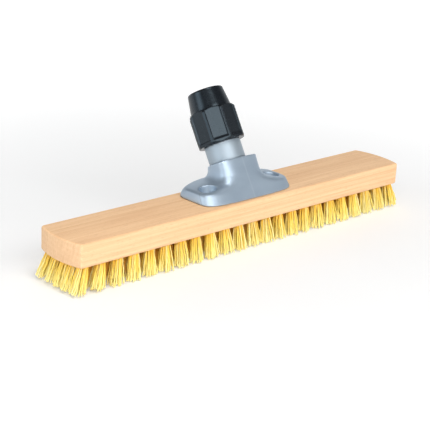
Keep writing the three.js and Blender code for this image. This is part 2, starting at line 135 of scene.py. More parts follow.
# %% [markdown]
# ## Nodes written as sums
#
# Shaders and Geometry Nodes are both trees of sockets. Wiring them by hand is slow to read, so a `Wire`
# stands for one socket and adds the Math node when it meets a plus or a minus. Every other node goes
# through one method of `Tree`, which takes the node's type, its settings and what its sockets are fed with.

# %% Wires


class Wire:
    """One output socket. Sums on it add Math nodes to its tree."""

    def __init__(self, tree, socket):
        self.tree = tree
        self.socket = socket

    def math(self, operation, first, *others):
        return self.tree.node("ShaderNodeMath", {"operation": operation}, dict(enumerate((first, *others))))

    def __add__(self, other):
        return self.math("ADD", self, other)

    def __sub__(self, other):
        return self.math("SUBTRACT", self, other)

    def __rsub__(self, other):
        return self.math("SUBTRACT", other, self)

    def __mul__(self, other):
        return self.math("MULTIPLY", self, other)

    def __truediv__(self, other):
        return self.math("DIVIDE", self, other)

    def __rtruediv__(self, other):
        return self.math("DIVIDE", other, self)

    def __pow__(self, other):
        return self.math("POWER", self, other)

    def __mod__(self, other):
        return self.math("FLOORED_MODULO", self, other)

    __radd__ = __add__
    __rmul__ = __mul__

    def floor(self):
        return self.math("FLOOR", self)

    def size(self):
        return self.math("ABSOLUTE", self)

    def sine(self):
        return self.math("SINE", self)

    def cosine(self):
        return self.math("COSINE", self)


print("wires ready")

# %% Trees


class Tree:
    """A node tree whose nodes are added by one method."""

    def __init__(self, tree):
        self.tree = tree

    def node(self, kind, settings=None, sockets=None, output=0):
        node = self.tree.nodes.new(kind)
        for name, value in (settings or {}).items():
            setattr(node, name, value)
        for key, value in (sockets or {}).items():
            self.feed(node.inputs[key], value)
        return Wire(self, node.outputs[output])

    def feed(self, socket, value):
        if isinstance(value, Wire):
            self.tree.links.new(value.socket, socket)
        elif socket.type == "RGBA":
            socket.default_value = (*value, 1)
        else:
            socket.default_value = value

    def step(self, value, low, high):
        """0 below low, 1 above high and a smooth climb between."""
        sockets = {0: value, 1: low, 2: high}
        return self.node("ShaderNodeMapRange", {"interpolation_type": "SMOOTHSTEP"}, sockets)

    def vector(self, x, y, z):
        return self.node("ShaderNodeCombineXYZ", {}, {0: x, 1: y, 2: z})

    def parts(self, vector):
        split = self.node("ShaderNodeSeparateXYZ", {}, {0: vector}).socket.node
        return [Wire(self, output) for output in split.outputs]


print("trees ready")

# %% [markdown]
# ## Finishes
#
# Each finish is a Principled shader with a pattern in Object coordinates, so it stays on the piece from any
# side. `Finish` keeps what all of them share: the place on the piece, noise stretched along chosen axes,
# mixing of colours, and a bump that feeds the Normal socket.

# %% A finish with its shader


class Finish(Tree):
    """A material. What is the same all over is set on the shader's own sockets."""

    def __init__(self, name, sockets):
        self.material = bpy.data.materials.new(name)
        self.material.use_nodes = True
        super().__init__(self.material.node_tree)
        self.shader = self.tree.nodes["Principled BSDF"]
        for key, value in sockets.items():
            self.shader.inputs[key].default_value = value
        self.place = self.node("ShaderNodeTexCoord", {}, {}, "Object")

    def noise(self, stretch, detail=2.0, roughness=0.5):
        """Noise from 0 to 1, with so many cells in a metre along X, Y and Z."""
        place = self.node("ShaderNodeMapping", {}, {"Vector": self.place, "Scale": stretch})
        sockets = {"Vector": place, "Scale": 1, "Detail": detail, "Roughness": roughness}
        return self.node("ShaderNodeTexNoise", {}, sockets)

    def spots(self, stretch, low, high, detail=2.0, roughness=0.5):
        """Spots where noise climbs from one level to another."""
        return self.step(self.noise(stretch, detail, roughness), low, high)

    def mix(self, share, first, second):
        return self.node("ShaderNodeMix", {"data_type": "RGBA"}, {0: share, 6: first, 7: second}, 2)

    def attribute(self, name):
        return self.node("ShaderNodeAttribute", {"attribute_name": name}, {}, "Fac")

    def finish(self, colour, roughness, height, depth):
        """Feeds the shader. The height field raises the surface by up to depth, in metres."""
        self.feed(self.shader.inputs["Base Color"], colour)
        self.feed(self.shader.inputs["Roughness"], roughness)
        bump = self.node("ShaderNodeBump", {}, {"Height": height, "Distance": depth, "Strength": 1})
        self.feed(self.shader.inputs["Normal"], bump)
        print("finish:", self.material.name, len(self.tree.nodes), "nodes")
        return self.material


print("finishes ready")

# %% [markdown]
# ### Beech
#
# Beech is pale and pinkish, with faint growth rings, fine fibres along the plank and short brown flecks. A
# wood texture node would give stripes that stop at the edges. Rings measured from a pith line under the
# block run through the whole plank instead, so the top, the sides and the end grain agree with each other.

# %% Beech
PITH_Y = 21 * MM
PITH_Z = -140 * MM
RING_SPACING = 4.6 * MM
RING_WAVER = 5.5 * MM
RAYS_ROUND = 420  # cells in a radian round the pith
RAYS_OUT = 90  # cells in a metre out from it
RAYS_ALONG = 150  # cells in a metre along the plank
END_TURN = (0.7, 0.92)  # how squarely a face looks along X before it is end grain
PALE_WOOD, TAN_WOOD, FLECK = (0.95, 0.64, 0.37), (0.77, 0.445, 0.23), (0.5, 0.27, 0.13)
END_WOOD, RAY, PORE = (0.78, 0.52, 0.315), (0.7, 0.42, 0.22), (0.56, 0.34, 0.17)
FLECK_SHARE, END_SHARE, RAY_SHARE, PORE_SHARE = 0.34, 0.5, 0.55, 0.4
GRAIN_DEPTH = 0.05 * MM


def beech_finish():
    beech = Finish("beech", {"Specular IOR Level": 0.3})
    x, y, z = beech.parts(beech.place)
    waver = beech.noise((5, 26, 26), 3) * RING_WAVER
    from_pith = ((y - PITH_Y) ** 2 + (z - PITH_Z) ** 2) ** 0.5
    rings = ((from_pith + waver) * (2 * math.pi / RING_SPACING)).sine() * 0.5 + 0.5
    fibres = beech.noise((14, 1000, 1000), 3, 0.6)
    streaks = beech.noise((6, 260, 260), 4, 0.65)
    clouds = beech.noise((7, 34, 34))
    flecks = beech.spots((230, 2100, 2100), 0.62, 0.72, 1)
    pores = beech.spots((500, 2600, 2600), 0.56, 0.7, 1)
    round_pith = (y - PITH_Y) / (z - PITH_Z)
    ray_place = beech.vector(round_pith * RAYS_ROUND, from_pith * RAYS_OUT, x * RAYS_ALONG)
    rays = beech.node("ShaderNodeTexNoise", {}, {"Vector": ray_place, "Scale": 1})
    normal = beech.node("ShaderNodeNewGeometry", {}, {}, "Normal")
    end = beech.step(beech.parts(normal)[0].size(), *END_TURN)
    tone = rings * 0.08 + fibres * 0.34 + streaks * 0.46 + clouds * 0.2
    colour = beech.mix(beech.step(tone, 0.32, 0.76), PALE_WOOD, TAN_WOOD)
    colour = beech.mix(flecks * (1 - end) * FLECK_SHARE, colour, FLECK)
    colour = beech.mix(end * END_SHARE, colour, END_WOOD)
    colour = beech.mix(end * beech.step(rays, 0.46, 0.62) * RAY_SHARE, colour, RAY)
    colour = beech.mix(end * pores * PORE_SHARE, colour, PORE)
    roughness = 0.52 + fibres * 0.16
    height = fibres * 0.6 - flecks * 0.5 + rings * 0.2
    return beech.finish(colour, roughness, height, GRAIN_DEPTH)


beech = beech_finish()

# %% [markdown]
# ### Bristle
#
# The bristles are stiff plastic filaments, lemon yellow, turning amber towards the roots. When a filament is
# made, three attributes are stored on its mesh: a tone of its own, a number that runs from 0 at the root to 1
# at the tip, and how deep inside the brush its tuft stands. The shader reads all three, so no two filaments
# look cut from one colour. The amber at the roots is partly the filaments' own colour and partly painted
# shade near the wood, and the tufts inside the brush are painted a deeper amber as shade.

# %% Bristle
AMBER, YELLOW, LEMON = (0.97, 0.58, 0.06), (0.99, 0.77, 0.16), (1, 0.87, 0.32)
PALE_STRAND, DARK_STRAND = (1, 0.93, 0.5), (0.95, 0.55, 0.05)
STREAK, SHADE_AMBER = (0.95, 0.55, 0.04), (0.97, 0.46, 0.03)
PALE_SHARE, DARK_SHARE, STREAK_SHARE, SHADE_AMBER_SHARE = 0.6, 0.3, 0.25, 0.7
STREAK_DEPTH = 0.04 * MM


def bristle_finish():
    bristle = Finish("bristle", {"Specular IOR Level": 0.25})
    tone, along, inner = (bristle.attribute(name) for name in ("tone", "along", "inner"))
    streaks = bristle.noise((700, 700, 90))
    # The amber at the roots is partly the filaments' own colour and partly painted shade near the wood.
    colour = bristle.mix(bristle.step(along, 0.1, 0.6), AMBER, YELLOW)
    colour = bristle.mix(bristle.step(along, 0.5, 1), colour, LEMON)
    colour = bristle.mix(bristle.step(tone, 0.4, 1) * PALE_SHARE, colour, PALE_STRAND)
    colour = bristle.mix((1 - bristle.step(tone, 0, 0.4)) * DARK_SHARE, colour, DARK_STRAND)
    colour = bristle.mix(bristle.step(streaks, 0.5, 0.8) * STREAK_SHARE, colour, STREAK)
    # Painted shade: the tufts inside the brush are painted a deeper amber, all but their tips.
    above_tips = 1 - bristle.step(along, 0.75, 1)
    colour = bristle.mix(inner * above_tips * SHADE_AMBER_SHARE, colour, SHADE_AMBER)
    roughness = 0.34 + streaks * 0.2
    return bristle.finish(colour, roughness, streaks, STREAK_DEPTH)


bristle = bristle_finish()

# %% [markdown]
# ### Grey and black mouldings
#
# The holder is a blue-grey plastic with a little metal powder in it, satin from the tool. The clamp nut is
# plain black, a touch glossier. Both have a fine spark-eroded grain, slow changes of gloss where the
# plastic flowed, and the holder carries the faint line where the halves of its mould met.

# %% Grey moulding
PARTING_Y = -50.6 * MM  # where the mould's leaning parting plane meets Z = 0
PARTING_LEAN = 0.8
PARTING_WIDTH = 0.35 * MM
PARTING_FROM = 44 * MM  # the line shows on the end walls only
PARTING_FADE = 2 * MM
LIGHT_LINE_X = 1 * MM
LIGHT_LINE_HALF = 1.4 * MM
BARREL_FROM = 26 * MM
BARREL_FADE = 1 * MM
BARREL_WITHIN = 17 * MM
BARREL_SKIN = 0.2 * MM
TURNING_UP, TURNING_ROUND = 2200, 20  # cells in a metre
DARK_GREY, LIGHT_GREY, BARREL_GREY = (0.37, 0.455, 0.55), (0.42, 0.51, 0.6), (0.37, 0.435, 0.49)
SCUFF_GREY, LIGHT_LINE_GREY, PARTING_GREY = (0.5, 0.57, 0.64), (0.52, 0.6, 0.67), (0.2, 0.23, 0.27)
SCUFF_SHARE, LIGHT_LINE_SHARE, PARTING_SHARE = 0.22, 0.4, 0.5
MOULD_DEPTH = 0.05 * MM


def grey_finish():
    grey = Finish("grey_moulding", {"Specular IOR Level": 0.5, "Metallic": 0.75})
    x, y, z = grey.parts(grey.place)
    grain = grey.noise((2400, 2400, 2400))
    flow = grey.noise((30, 46, 60), 3)
    scuffs = grey.spots((90, 700, 260), 0.6, 0.78, 3, 0.65)
    off_line = (y - z * PARTING_LEAN - PARTING_Y).size()
    on_ends = grey.step(x.size(), PARTING_FROM, PARTING_FROM + PARTING_FADE)
    parting = (1 - grey.step(off_line, PARTING_WIDTH / 2, PARTING_WIDTH)) * on_ends
    up = (y - axis_foot.y) * axis.y + (z - axis_foot.z) * axis.z
    aside = (z - axis_foot.z) * axis.y - (y - axis_foot.y) * axis.z
    from_axis = (x**2 + aside**2) ** 0.5
    past_neck = grey.step(up, BARREL_FROM, BARREL_FROM + BARREL_FADE)
    barrel = past_neck * (1 - grey.step(from_axis, BARREL_WITHIN, BARREL_WITHIN + BARREL_SKIN))
    # A lighter, slightly raised line runs down the front of the neck at X = 1 mm.
    light_line = (1 - grey.step((x - LIGHT_LINE_X).size(), 0, LIGHT_LINE_HALF)) * (1 - barrel)
    turning_place = grey.vector(up * TURNING_UP, x * TURNING_ROUND, aside * TURNING_ROUND)
    turning = grey.node("ShaderNodeTexNoise", {}, {"Vector": turning_place, "Scale": 1})
    colour = grey.mix(grey.step(flow, 0.3, 0.75), DARK_GREY, LIGHT_GREY)
    colour = grey.mix(barrel, colour, BARREL_GREY)
    colour = grey.mix(scuffs * SCUFF_SHARE, colour, SCUFF_GREY)
    colour = grey.mix(light_line * LIGHT_LINE_SHARE, colour, LIGHT_LINE_GREY)
    colour = grey.mix(parting * PARTING_SHARE, colour, PARTING_GREY)
    roughness = 0.38 + grain * 0.08 + flow * 0.08 + barrel * 0.08
    height = grain * 0.2 - parting + light_line * 0.3 + barrel * turning * 0.5
    return grey.finish(colour, roughness, height, MOULD_DEPTH)


grey_moulding = grey_finish()

# %% Black moulding
BLUE_GLOSS = (0.66, 0.86, 1, 1)
BLACK, SOFT_BLACK, SCUFF_BLACK = (0.006, 0.007, 0.009), (0.011, 0.013, 0.016), (0.035, 0.04, 0.046)
SPARK_DEPTH = 0.01 * MM


def black_finish():
    black = Finish("black_moulding", {"Specular IOR Level": 0.42, "Specular Tint": BLUE_GLOSS})
    grain = black.noise((2600, 2600, 2600))
    flow = black.noise((60, 60, 60), 3)
    scuffs = black.spots((320, 320, 1500), 0.6, 0.76, 3, 0.65)
    colour = black.mix(flow, BLACK, SOFT_BLACK)
    colour = black.mix(scuffs * 0.3, colour, SCUFF_BLACK)
    roughness = 0.2 + grain * 0.06 + scuffs * 0.1
    return black.finish(colour, roughness, grain * 0.5 - scuffs * 0.2, SPARK_DEPTH)


black_moulding = black_finish()

# %% [markdown]
# ### Nylon and zinc
#
# The collet is natural nylon, milky and slightly worn where it grips. The screws are zinc plated: bright,
# bluish, with a mottled gloss from the bath.

# %% Nylon and zinc
MILKY, WARM_MILKY, RUBBED = (0.6, 0.58, 0.52), (0.74, 0.72, 0.66), (0.44, 0.42, 0.38)
DULL_ZINC, BRIGHT_ZINC = (0.5, 0.52, 0.56), (0.72, 0.73, 0.74)
NYLON_DEPTH = 0.04 * MM
ZINC_DEPTH = 0.02 * MM


def nylon_finish():
    nylon = Finish("pale_nylon", {"Specular IOR Level": 0.45})
    clouds = nylon.noise((160, 160, 160), 3)
    rubs = nylon.spots((900, 900, 120), 0.58, 0.75)
    colour = nylon.mix(clouds, MILKY, WARM_MILKY)
    colour = nylon.mix(rubs * 0.4, colour, RUBBED)
    return nylon.finish(colour, 0.4 + clouds * 0.15, clouds - rubs, NYLON_DEPTH)


def zinc_finish():
    zinc = Finish("zinc_steel", {"Metallic": 1.0})
    spangle = zinc.noise((900, 900, 900))
    colour = zinc.mix(spangle, DULL_ZINC, BRIGHT_ZINC)
    return zinc.finish(colour, 0.22 + spangle * 0.2, spangle, ZINC_DEPTH)


pale_nylon = nylon_finish()
zinc_steel = zinc_finish()

# %% [markdown]
# ## Meshes from rings
#
# Most pieces here are stacks of rings: the block, the holder's skin, the barrel, the nut and the screws.
# One helper skins such a stack. Rings may run round and back inside, which closes a hollow piece, or end in
# two caps.

# %% Rings and a skin over them


def full_turn(count):
    """So many angles, evenly round a circle."""
    return np.linspace(0, 2 * math.pi, count, endpoint=False)


def rounding(size, steps, first=0):
    """How far in and how far down a quarter round lies from its corner, step by step."""
    turns = [k / steps * math.pi / 2 for k in range(first, steps + 1)]
    return [(size * (1 - math.cos(turn)), size * (1 - math.sin(turn))) for turn in turns]


def mixed(first, second, share):
    return first + (second - first) * share


def ring_at(angle, radius, along):
    """A ring about Z. The radius and the height may change with the angle."""
    radius = np.broadcast_to(radius, angle.shape)
    along = np.broadcast_to(along, angle.shape)
    return np.stack([radius * np.cos(angle), radius * np.sin(angle), along], axis=1)


def profile_rings(angle, profile):
    """Rings about Z, one for each (radius, height) of a profile."""
    return [ring_at(angle, radius, along) for radius, along in profile]


def skin(name, rings, loop=False):
    """A closed mesh over rings of equal counts. With loop, the last ring joins the first, without caps."""
    count = len(rings[0])
    total = len(rings)
    faces = []
    for r in range(total if loop else total - 1):
        low, high = r * count, (r + 1) % total * count
        for i in range(count):
            j = (i + 1) % count
            faces.append((low + i, low + j, high + j, high + i))
    if not loop:
        faces.append(tuple(range(count))[::-1])
        faces.append(tuple(range((total - 1) * count, total * count)))
    mesh = bpy.data.meshes.new(name)
    mesh.from_pydata(np.concatenate(rings).tolist(), [], faces)
    return mesh


print("ring helpers ready")

# %% Shading, modifiers and Booleans


def smooth(mesh, angle=40):
    """Smooth shading, with edges sharper than the angle kept crisp."""
    mesh.shade_smooth()
    mesh.set_sharp_from_angle(angle=math.radians(angle))
    return mesh


def with_modifiers(mesh, *modifiers):
    """The mesh after modifiers, each given as its type and settings."""
    helper = shown("helper", mesh)
    for kind, settings in modifiers:
        modifier = helper.modifiers.new(kind, kind)
        for key, value in settings.items():
            setattr(modifier, key, value)
    graph = bpy.context.evaluated_depsgraph_get()
    made = bpy.data.meshes.new_from_object(helper.evaluated_get(graph))
    bpy.data.objects.remove(helper)
    return made


def cut(mesh, *cutters):
    """The mesh with closed cutter meshes taken out of it."""
    helpers = [shown("cutter", cutter) for cutter in cutters]
    settings = [{"operation": "DIFFERENCE", "solver": "EXACT", "object": helper} for helper in helpers]
    made = with_modifiers(mesh, *[("BOOLEAN", setting) for setting in settings])
    for helper in helpers:
        bpy.data.objects.remove(helper)
    return made


print("mesh helpers ready")

# %% A piece on its body


def add_piece(name, mesh, finish, body, slot, *nodes):
    """Shows a mesh as a piece that rides on a body and stands for its CAD nodes."""
    mesh.name = name
    mesh.materials.clear()
    mesh.materials.append(finish)
    piece = shown(name, mesh)
    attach(piece, body)
    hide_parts(*nodes)
    triangles = sum(len(face.vertices) - 2 for face in mesh.polygons)
    print(name, "has", triangles, "triangles")


# %% [markdown]
# ## Wooden block
#
# The real block is planed from a plank, rounded along its edges and drilled from below for the tufts. Rings
# of one outline, drawn in at the top and bottom, make the rounded edges with true arcs, and a Boolean
# drills the holes. Bevel could round the edges too, but the ends are bowed, and rings follow the bow
# exactly.

# %% Block outline
BLOCK_BOW = 5 * MM
BLOCK_CORNER = 3 * MM
BLOCK_EDGE = 1.9 * MM
CORNER_STEPS, END_STEPS, EDGE_STEPS = 8, 24, 6
half_length = block_high.x
half_width = block_high.y


def arc(centre, radius, start, stop, steps):
    """Points on an arc, with the last left for what follows."""
    angles = np.linspace(start, stop, steps, endpoint=False)
    return [(centre[0] + radius * math.cos(a), centre[1] + radius * math.sin(a)) for a in angles]


def block_outline(inset):
    """Straight sides, bowed ends and rounded corners, drawn in by an inset."""
    end_radius = (half_width**2 + BLOCK_BOW**2) / (2 * BLOCK_BOW)
    end_centre = half_length - end_radius
    round_y = half_width - BLOCK_CORNER
    reach = end_radius - BLOCK_CORNER
    round_x = end_centre + math.sqrt(reach**2 - round_y**2)
    turn = math.asin(round_y / reach)
    corner = BLOCK_CORNER - inset
    points = arc((round_x, -round_y), corner, -math.pi / 2, -turn, CORNER_STEPS)
    points += arc((end_centre, 0), end_radius - inset, -turn, turn, END_STEPS)
    points += arc((round_x, round_y), corner, turn, math.pi / 2, CORNER_STEPS)
    points += [(round_x, round_y + corner)]
    return points + [(-x, -y) for x, y in points]


print(len(block_outline(0)), "points in the block's outline")

# %% Block rings
lower_edge = [(inset, block_low.z + rise) for rise, inset in rounding(BLOCK_EDGE, EDGE_STEPS)]
upper_edge = [(inset, block_low.z + block_high.z - z) for inset, z in reversed(lower_edge)]
block_rings = [[(x, y, z) for x, y in block_outline(inset)] for inset, z in lower_edge + upper_edge]
plank = skin("plank", block_rings)
print("plank has", len(plank.polygons), "faces")

# %% [markdown]
# ### Drilled holes
#
# Five rows of 23 holes, evenly pitched, leave a margin at the sides and ends. The same places carry the
# tufts below, so they are worked out once. The holes could be cut one at a time, but what repeats is better
# made by a rule: a tree of Geometry Nodes sets a drill bit at every place, and one Boolean takes all of
# them out. `Rule` builds such a tree with named inputs, runs it and gives the result back as a plain mesh.

# %% A tree with named inputs


class Rule(Tree):
    """A Geometry Nodes tree whose inputs have names."""

    def __init__(self, name):
        group = bpy.data.node_groups.new(name, "GeometryNodeTree")
        group.interface.new_socket("Geometry", in_out="OUTPUT", socket_type="NodeSocketGeometry")
        super().__init__(group)
        self.values = {}
        self.entry = group.nodes.new("NodeGroupInput")

    def input(self, name, value, kind="Float"):
        """Adds a named input and keeps the value that the modifier will set."""
        socket = self.tree.interface.new_socket(name, in_out="INPUT", socket_type="NodeSocket" + kind)
        self.values[socket.identifier] = value
        return Wire(self, self.entry.outputs[name])

    def random(self, low, high, number, seed):
        sockets = {2: low, 3: high, 7: number, 8: seed}
        return self.node("FunctionNodeRandomValue", {"data_type": "FLOAT"}, sockets, 1)

    def store(self, geometry, name, value, kind="FLOAT"):
        sockets = {"Geometry": geometry, "Name": name, "Value": value}
        return self.node("GeometryNodeStoreNamedAttribute", {"data_type": kind}, sockets)

    def stored(self, name, kind="FLOAT"):
        return self.node("GeometryNodeInputNamedAttribute", {"data_type": kind}, {"Name": name})

    def vector_sum(self, operation, first, second):
        return self.node("ShaderNodeVectorMath", {"operation": operation}, {0: first, 1: second})

    def scaled(self, vector, factor):
        return self.node("ShaderNodeVectorMath", {"operation": "SCALE"}, {0: vector, "Scale": factor})

    def mesh(self, geometry, finish):
        """Ends the tree, runs it and gives the result back as a plain mesh."""
        real = self.node("GeometryNodeRealizeInstances", {}, {"Geometry": geometry})
        done = self.node("GeometryNodeSetMaterial", {}, {"Geometry": real, "Material": finish})
        exit_node = self.tree.nodes.new("NodeGroupOutput")
        self.feed(exit_node.inputs["Geometry"], done)
        helper = shown(self.tree.name, bpy.data.meshes.new("empty"))
        modifier = helper.modifiers.new("rule", "NODES")
        modifier.node_group = self.tree
        for identifier, value in self.values.items():
            modifier[identifier] = value
        graph = bpy.context.evaluated_depsgraph_get()
        made = bpy.data.meshes.new_from_object(
            helper.evaluated_get(graph), preserve_all_data_layers=True, depsgraph=graph
        )
        helper.modifiers.remove(modifier)
        bpy.data.objects.remove(helper)
        return made


print("rules ready")

# %% Tuft places and holes
TUFT_ROWS = 5
TUFTS_PER_ROW = 23
TUFT_EDGE = 7 * MM
TUFT_END = 7.5 * MM
HOLE_DIAMETER = 8.6 * MM
HOLE_DEPTH = 9 * MM
HOLE_SIDES = 16
column_pitch = 2 * (half_length - BLOCK_BOW - TUFT_END) / (TUFTS_PER_ROW - 1)
row_pitch = 2 * (half_width - TUFT_EDGE) / (TUFT_ROWS - 1)


def drill_bits():
    rule = Rule("drill_bits")
    grid = {
        "Size X": rule.input("Length of a row", column_pitch * (TUFTS_PER_ROW - 1)),
        "Size Y": rule.input("Width of the rows", row_pitch * (TUFT_ROWS - 1)),
        "Vertices X": rule.input("Holes in a row", TUFTS_PER_ROW, "Int"),
        "Vertices Y": rule.input("Rows", TUFT_ROWS, "Int"),
    }
    bit = {
        "Vertices": HOLE_SIDES,
        "Radius": rule.input("Hole diameter", HOLE_DIAMETER) / 2,
        "Depth": rule.input("Hole depth", HOLE_DEPTH) * 2,
    }
    places = rule.node("GeometryNodeMeshGrid", {}, grid)
    bit = rule.node("GeometryNodeMeshCylinder", {}, bit)
    bits = rule.node("GeometryNodeInstanceOnPoints", {}, {"Points": places, "Instance": bit})
    sockets = {"Geometry": bits, "Translation": (0, 0, block_low.z)}
    return rule.mesh(rule.node("GeometryNodeTransform", {}, sockets), beech)


block_mesh = smooth(cut(plank, drill_bits()))
add_piece("wooden_block", block_mesh, beech, "brush_head", "beech", "wood_block")

# %% [markdown]
# ## Bristles
#
# Each hole holds a bundle of filaments, bent double round a staple. They leave the wood close together and
# flare to the trimmed tips. The tufts along the sides and ends also lean outwards, and all but the end ones
# are swept a little along the block. A particle system or hair curves would do for a picture, but the part
# needs a plain mesh, and the same rule fits every filament. So one tree of Geometry Nodes makes a point for
# each filament, works out its root and tip from its number, bends a short line between them and gives the
# line a round section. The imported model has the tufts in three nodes, so the rule runs three times, for the
# left, the middle and the right.
#
# A filament's number gives its tuft and its place in the bundle. The place follows a sunflower spiral,
# which fills a round hole evenly; the same spiral, made wider, spreads the tips. Each filament strays, bows
# and waves by random amounts of its own, which keeps the bundle from looking like a bunch of straight
# wires.

# %% Filament sizes
FILAMENTS = 54
FILAMENT_SIDES = 5
FILAMENT_POINTS = 8
BRISTLE_SEED = 11
BRISTLE_SIZES = {
    "Filament diameter": 1.1 * MM,
    "Root radius": 3.5 * MM,
    "Tip spread along the row": 6.9 * MM,
    "Tip spread across the rows": 4.6 * MM,
    "Stray of a tip": 2 * MM,
    "Lean of the outer rows": 2.6 * MM,
    "Lean of the end tufts": 8 * MM,
    "Sweep along the block": 3 * MM,
    "Shortest filament is short by": 2.8 * MM,
    "Bow": 0.4 * MM,
}
CRIMP = 0.55 * MM
CRIMP_WAVES = 2.6
ROOT_DEPTH = 4 * MM
TUFT_WANDER_X, TUFT_WANDER_Y = 0.8 * MM, 0.5 * MM
TIP_LIFT = 0.35  # of a filament's diameter, so that a leaning tip's edge stays above the floor
# These shares say where tufts stop getting the painted shade of a deeper amber.
SHADED_ROWS, SHADED_COLUMNS = (0.5, 1), (0.9, 1)  # where tufts stop being inner, from 0 at the centre to 1
GOLDEN_ANGLE = math.pi * (3 - math.sqrt(5))
NEAR_WHOLE = 1e-4  # keeps a whole number from being floored to the one below
print(FILAMENTS * TUFT_ROWS * TUFTS_PER_ROW, "filaments")

# %% A point for each filament


def filament_points(rule, first_column, column_count):
    """Points that carry each filament's root, tip, bends and shades, and the input for its diameter."""
    first = rule.input("First column", first_column, "Int")
    column_count = rule.input("Number of columns", column_count, "Int")
    count = rule.input("Filaments per tuft", FILAMENTS, "Int")
    seed = rule.input("Seed", BRISTLE_SEED, "Int")
    sizes = [rule.input(name, size) for name, size in BRISTLE_SIZES.items()]
    thickness, root_radius, tip_along, tip_across, stray, side_lean, end_lean, sweep, shorter, bow = sizes

    number = rule.node("GeometryNodeInputIndex") + first * (count * TUFT_ROWS)
    tuft = (number / count + NEAR_WHOLE).floor()
    spot = number - tuft * count
    column = (tuft / TUFT_ROWS + NEAR_WHOLE).floor()
    row = tuft % TUFT_ROWS - TUFT_ROWS // 2
    along = column * (2 / (TUFTS_PER_ROW - 1))
    across = row * (2 / (TUFT_ROWS - 1))

    angle = spot * GOLDEN_ANGLE + rule.random(0, 2 * math.pi, tuft, seed)
    reach = ((spot + 0.5) / count) ** 0.5
    out_x, out_y = angle.cosine() * reach, angle.sine() * reach
    root_x = column * column_pitch + out_x * root_radius
    root_y = row * row_pitch + out_y * root_radius
    length = block_low.z + ROOT_DEPTH

    tuft_x = rule.random(-TUFT_WANDER_X, TUFT_WANDER_X, tuft, seed + 1)
    tuft_y = rule.random(-TUFT_WANDER_Y, TUFT_WANDER_Y, tuft, seed + 2)
    stray_x = rule.random(-1, 1, number, seed + 3) * stray
    stray_y = rule.random(-1, 1, number, seed + 4) * stray
    lean_x = along**3 * end_lean + (1 - along**2) * sweep
    lean_y = across * across.size() * side_lean
    tip_x = column * column_pitch + out_x * tip_along + lean_x + tuft_x + stray_x
    tip_y = row * row_pitch + out_y * tip_across + lean_y + tuft_y + stray_y
    sideways = (tip_x - root_x) ** 2 + (tip_y - root_y) ** 2
    lifted = length - (length**2 - sideways) ** 0.5
    tip_z = lifted + rule.random(0, 1, number, seed + 5) ** 2 * shorter + thickness * TIP_LIFT

    bow_x = rule.random(-1, 1, number, seed + 6) * bow + out_x * bow
    bow_y = rule.random(-1, 1, number, seed + 7) * bow + out_y * bow
    crimp_way = rule.random(0, 2 * math.pi, number, seed + 9)
    vectors = {
        "root": rule.vector(root_x, root_y, length),
        "tip": rule.vector(tip_x, tip_y, tip_z),
        "belly": rule.vector(bow_x, bow_y, 0),
        "crimp": rule.vector(crimp_way.cosine() * CRIMP, crimp_way.sine() * CRIMP, 0),
    }
    outer_row = rule.step(across.size(), *SHADED_ROWS)
    outer_column = rule.step(along.size(), *SHADED_COLUMNS)
    # The tufts inside the brush are marked for a painted shade, a deeper amber in the shader.
    numbers = {
        "start": rule.random(0, 2 * math.pi, number, seed + 10),
        "tone": rule.random(0, 1, number, seed + 8),
        "inner": (1 - outer_row) * (1 - outer_column),
    }
    points = rule.node("GeometryNodePoints", {}, {"Count": column_count * count * TUFT_ROWS})
    for name, value in vectors.items():
        points = rule.store(points, name, value, "FLOAT_VECTOR")
    for name, value in numbers.items():
        points = rule.store(points, name, value)
    return points, thickness


print("points rule ready")

# %% Filaments on the points


def bristle_mesh(first_column, last_column):
    rule = Rule("bristles")
    points, thickness = filament_points(rule, first_column, last_column - first_column + 1)
    line = rule.node("GeometryNodeMeshLine", {}, {"Count": FILAMENT_POINTS})
    line = rule.node("GeometryNodeMeshToCurve", {}, {"Mesh": line})
    lines = rule.node("GeometryNodeInstanceOnPoints", {}, {"Points": points, "Instance": line})
    lines = rule.node("GeometryNodeRealizeInstances", {}, {"Geometry": lines})

    share = rule.node("GeometryNodeSplineParameter")
    names = ("root", "tip", "belly", "crimp")
    root, tip, belly, crimp = (rule.stored(name, "FLOAT_VECTOR") for name in names)
    bulge = share * (1 - share) * 4  # 0 at both ends and 1 halfway
    wave = (share * (2 * math.pi * CRIMP_WAVES) + rule.stored("start")).sine() * share
    path = rule.vector_sum("ADD", root, rule.scaled(rule.vector_sum("SUBTRACT", tip, root), share))
    path = rule.vector_sum("ADD", path, rule.scaled(belly, bulge))
    path = rule.vector_sum("ADD", path, rule.scaled(crimp, wave))
    lines = rule.node("GeometryNodeSetPosition", {}, {"Geometry": lines, "Position": path})
    lines = rule.store(lines, "along", share)
    section = {"Resolution": FILAMENT_SIDES, "Radius": thickness / 2}
    section = rule.node("GeometryNodeCurvePrimitiveCircle", {}, section)
    sockets = {"Curve": lines, "Profile Curve": section, "Fill Caps": True}
    filaments = rule.node("GeometryNodeCurveToMesh", {}, sockets)
    filaments = rule.node("GeometryNodeSetShadeSmooth", {}, {"Geometry": filaments})
    return rule.mesh(filaments, bristle)


END_COLUMN = TUFTS_PER_ROW // 2
MIDDLE_COLUMN = 3  # the last column of the middle piece, counted from the block's centre
bristle_spans = {
    "bristles_left": (-END_COLUMN, -MIDDLE_COLUMN - 1),
    "bristles_middle": (-MIDDLE_COLUMN, MIDDLE_COLUMN),
    "bristles_right": (MIDDLE_COLUMN + 1, END_COLUMN),
}
for node, span in bristle_spans.items():
    add_piece(node + "_filaments", bristle_mesh(*span), bristle, "brush_head", "bristle", node)

# %% [markdown]
# ## Handle holder
#
# One moulding: a foot with two tabs for the screws, and a neck that sweeps up from them to the barrel. Its
# front is a single leaning flat, while its back is round. Modelling it as boxes would miss that sweep, so
# rings between the front and the back carry it, squarer at the foot and rounder up the neck. The screw
# wells, which narrow towards their floors, and the socket are cut out. A fine remesh with a little
# smoothing then gives every edge the small radius that a mould has.

